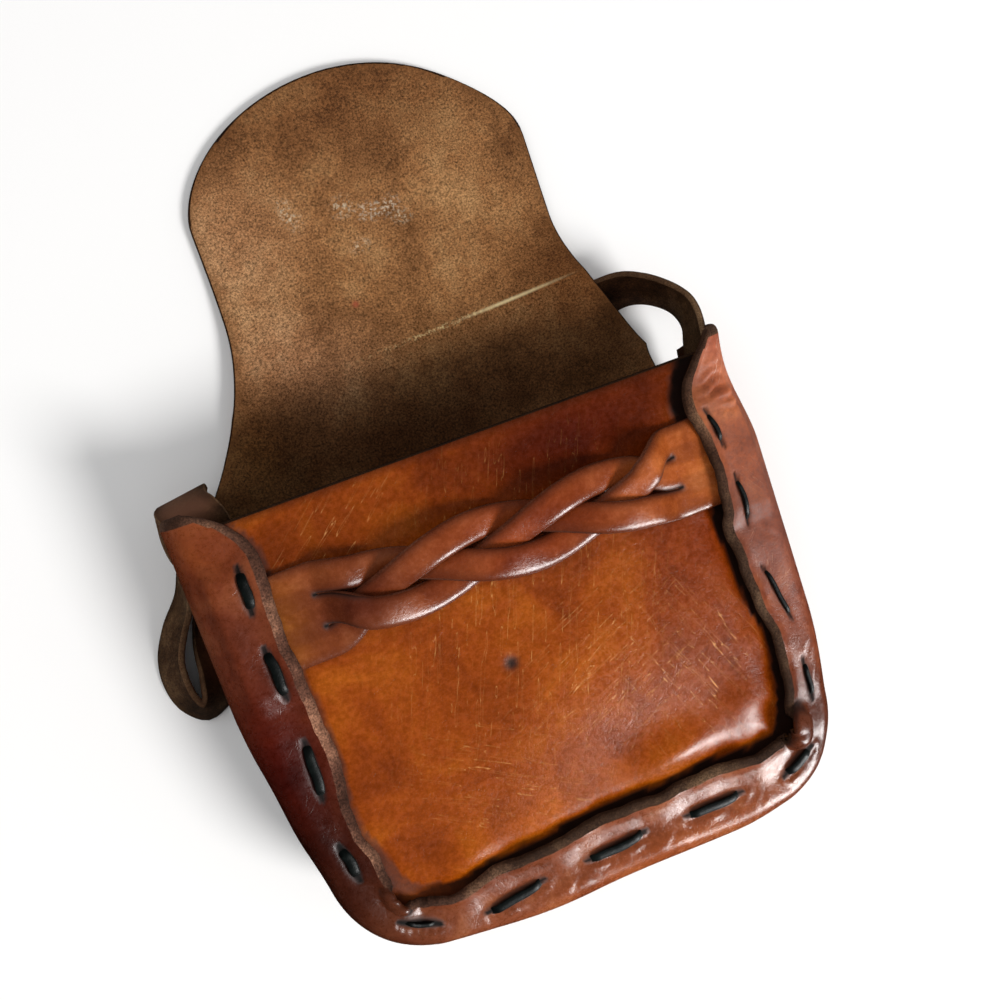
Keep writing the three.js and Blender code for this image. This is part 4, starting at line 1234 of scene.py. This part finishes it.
def bight_lines(front):
    """One short line of points for each bight, dipping into the leather at both slits."""
    surface = gusset_outer[:, :len(front_places) // 2 + 1].reshape(-1, 3)
    points, edges, radii = [], [], []
    for stitch in STITCHES:
        start, along, aside, length = stitch_frame(stitch)
        t = np.linspace(-0.02, 1.02, BIGHT_POINTS)
        bow = (0.5 * np.sin(t * math.pi) + 0.25 * np.sin(t * 9 + length)) * front
        line = start + along * (t * length)[:, None] + aside * bow[:, None]
        from_end = np.clip(np.minimum(t, 1 - t), 0, 1) * length
        if front:
            gaps = np.hypot(surface[None, :, 0] - line[:, :1], surface[None, :, 1] - line[:, 1:])
            level = np.take_along_axis(
                np.broadcast_to(surface[None, :, 2], gaps.shape), gaps.argmin(axis=1)[:, None], 1)[:, 0]
            level = np.convolve(np.pad(level, 2, mode="edge"), np.ones(5) / 5, "valid")
            dive = DIVE["depth"] * (1 - smooth(0, DIVE["reach"], from_end))
            z = level + LACE["thickness"] / 2 + 0.35 - dive
        else:
            under = flange_under + under_strap(line[:, 0], line[:, 1])
            z = under - SEAT - LACE["thickness"] / 2 + 1.2 * (1 - smooth(0, 2.5, from_end))
        first = len(points)
        points += np.column_stack([line, z]).tolist()
        plump = 0.7 + 0.3 * np.sin(np.clip(t, 0, 1) * math.pi) ** 0.6
        radii += (seen_share(start[0]) * plump).tolist()
        edges += [(first + i, first + i + 1) for i in range(len(t) - 1)]
    mesh = bpy.data.meshes.new("bight_lines")
    mesh.from_pydata(placed(points).tolist(), edges, [])
    mesh.attributes.new("radius", "FLOAT", "POINT").data.foreach_set("value", radii)
    lines = bpy.data.objects.new("bight_lines", mesh)
    bpy.context.scene.collection.objects.link(lines)
    return lines


lace_nodes = [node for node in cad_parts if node.startswith("lace_")]
for side in ("front", "back"):
    lace = made_by_nodes(f"lace_{side}_bights", bight_lines(side == "front"), lace_sweep,
                         Width=LACE["width"] * MM, Thickness=LACE["thickness"] * MM,
                         Rounding=LACE_ROUNDING * MM, Material=lace_black)
    settle(lace, "black_lace", *[node for node in lace_nodes if node.startswith(f"lace_{side}")])

# %% [markdown]
# Beyond the bag's lower right corner stand two large soft lights. The higher one lights the
# leather but isn't mirrored in it; the lower one is only mirrored, which puts the highlights on the
# rolled edges and leaves the flat leather its full colour. One light would do both in life, but
# would haze the panel. A weaker one fills from the upper left, and a pale sky fills the rest.

# %% Light


def soft_light(name, place, target, size, power, colour=(1, 1, 1)):
    """A round area light of this size in metres and power in watts, from a place in bag mm."""
    data = bpy.data.lights.new(name, "AREA")
    data.shape = "DISK"
    data.size = size
    data.energy = power
    data.color = colour
    light = bpy.data.objects.new(name, data)
    aim = Vector(placed(target)) - Vector(placed(place))
    turned = aim.to_track_quat("-Z", "Y").to_matrix().to_4x4()
    light.matrix_world = Matrix.Translation(placed(place)) @ turned
    bpy.context.scene.collection.objects.link(light)
    return light


key = soft_light("key_light", (1000, -1370, 1770), (40, -30, 40), 0.9, 50, (1.0, 0.98, 0.96))
key.visible_glossy = False
gloss = soft_light("gloss_light", (1150, -1650, 1300), (40, -60, 60), 1.0, 74)
gloss.visible_diffuse = False
fill = soft_light("fill_light", (-900, 900, 1700), (0, 60, 20), 1.6, 9)
fill.visible_glossy = False
world = bpy.data.worlds.new("studio")
world.use_nodes = True
world.node_tree.nodes["Background"].inputs["Color"].default_value = (1, 1, 1, 1)
world.node_tree.nodes["Background"].inputs["Strength"].default_value = 0.4
world.cycles_visibility.glossy = False
bpy.context.scene.world = world

view = bpy.context.scene.view_settings
view.view_transform = "Standard"
view.look = "None"
print("three lights, a sky and a camera")
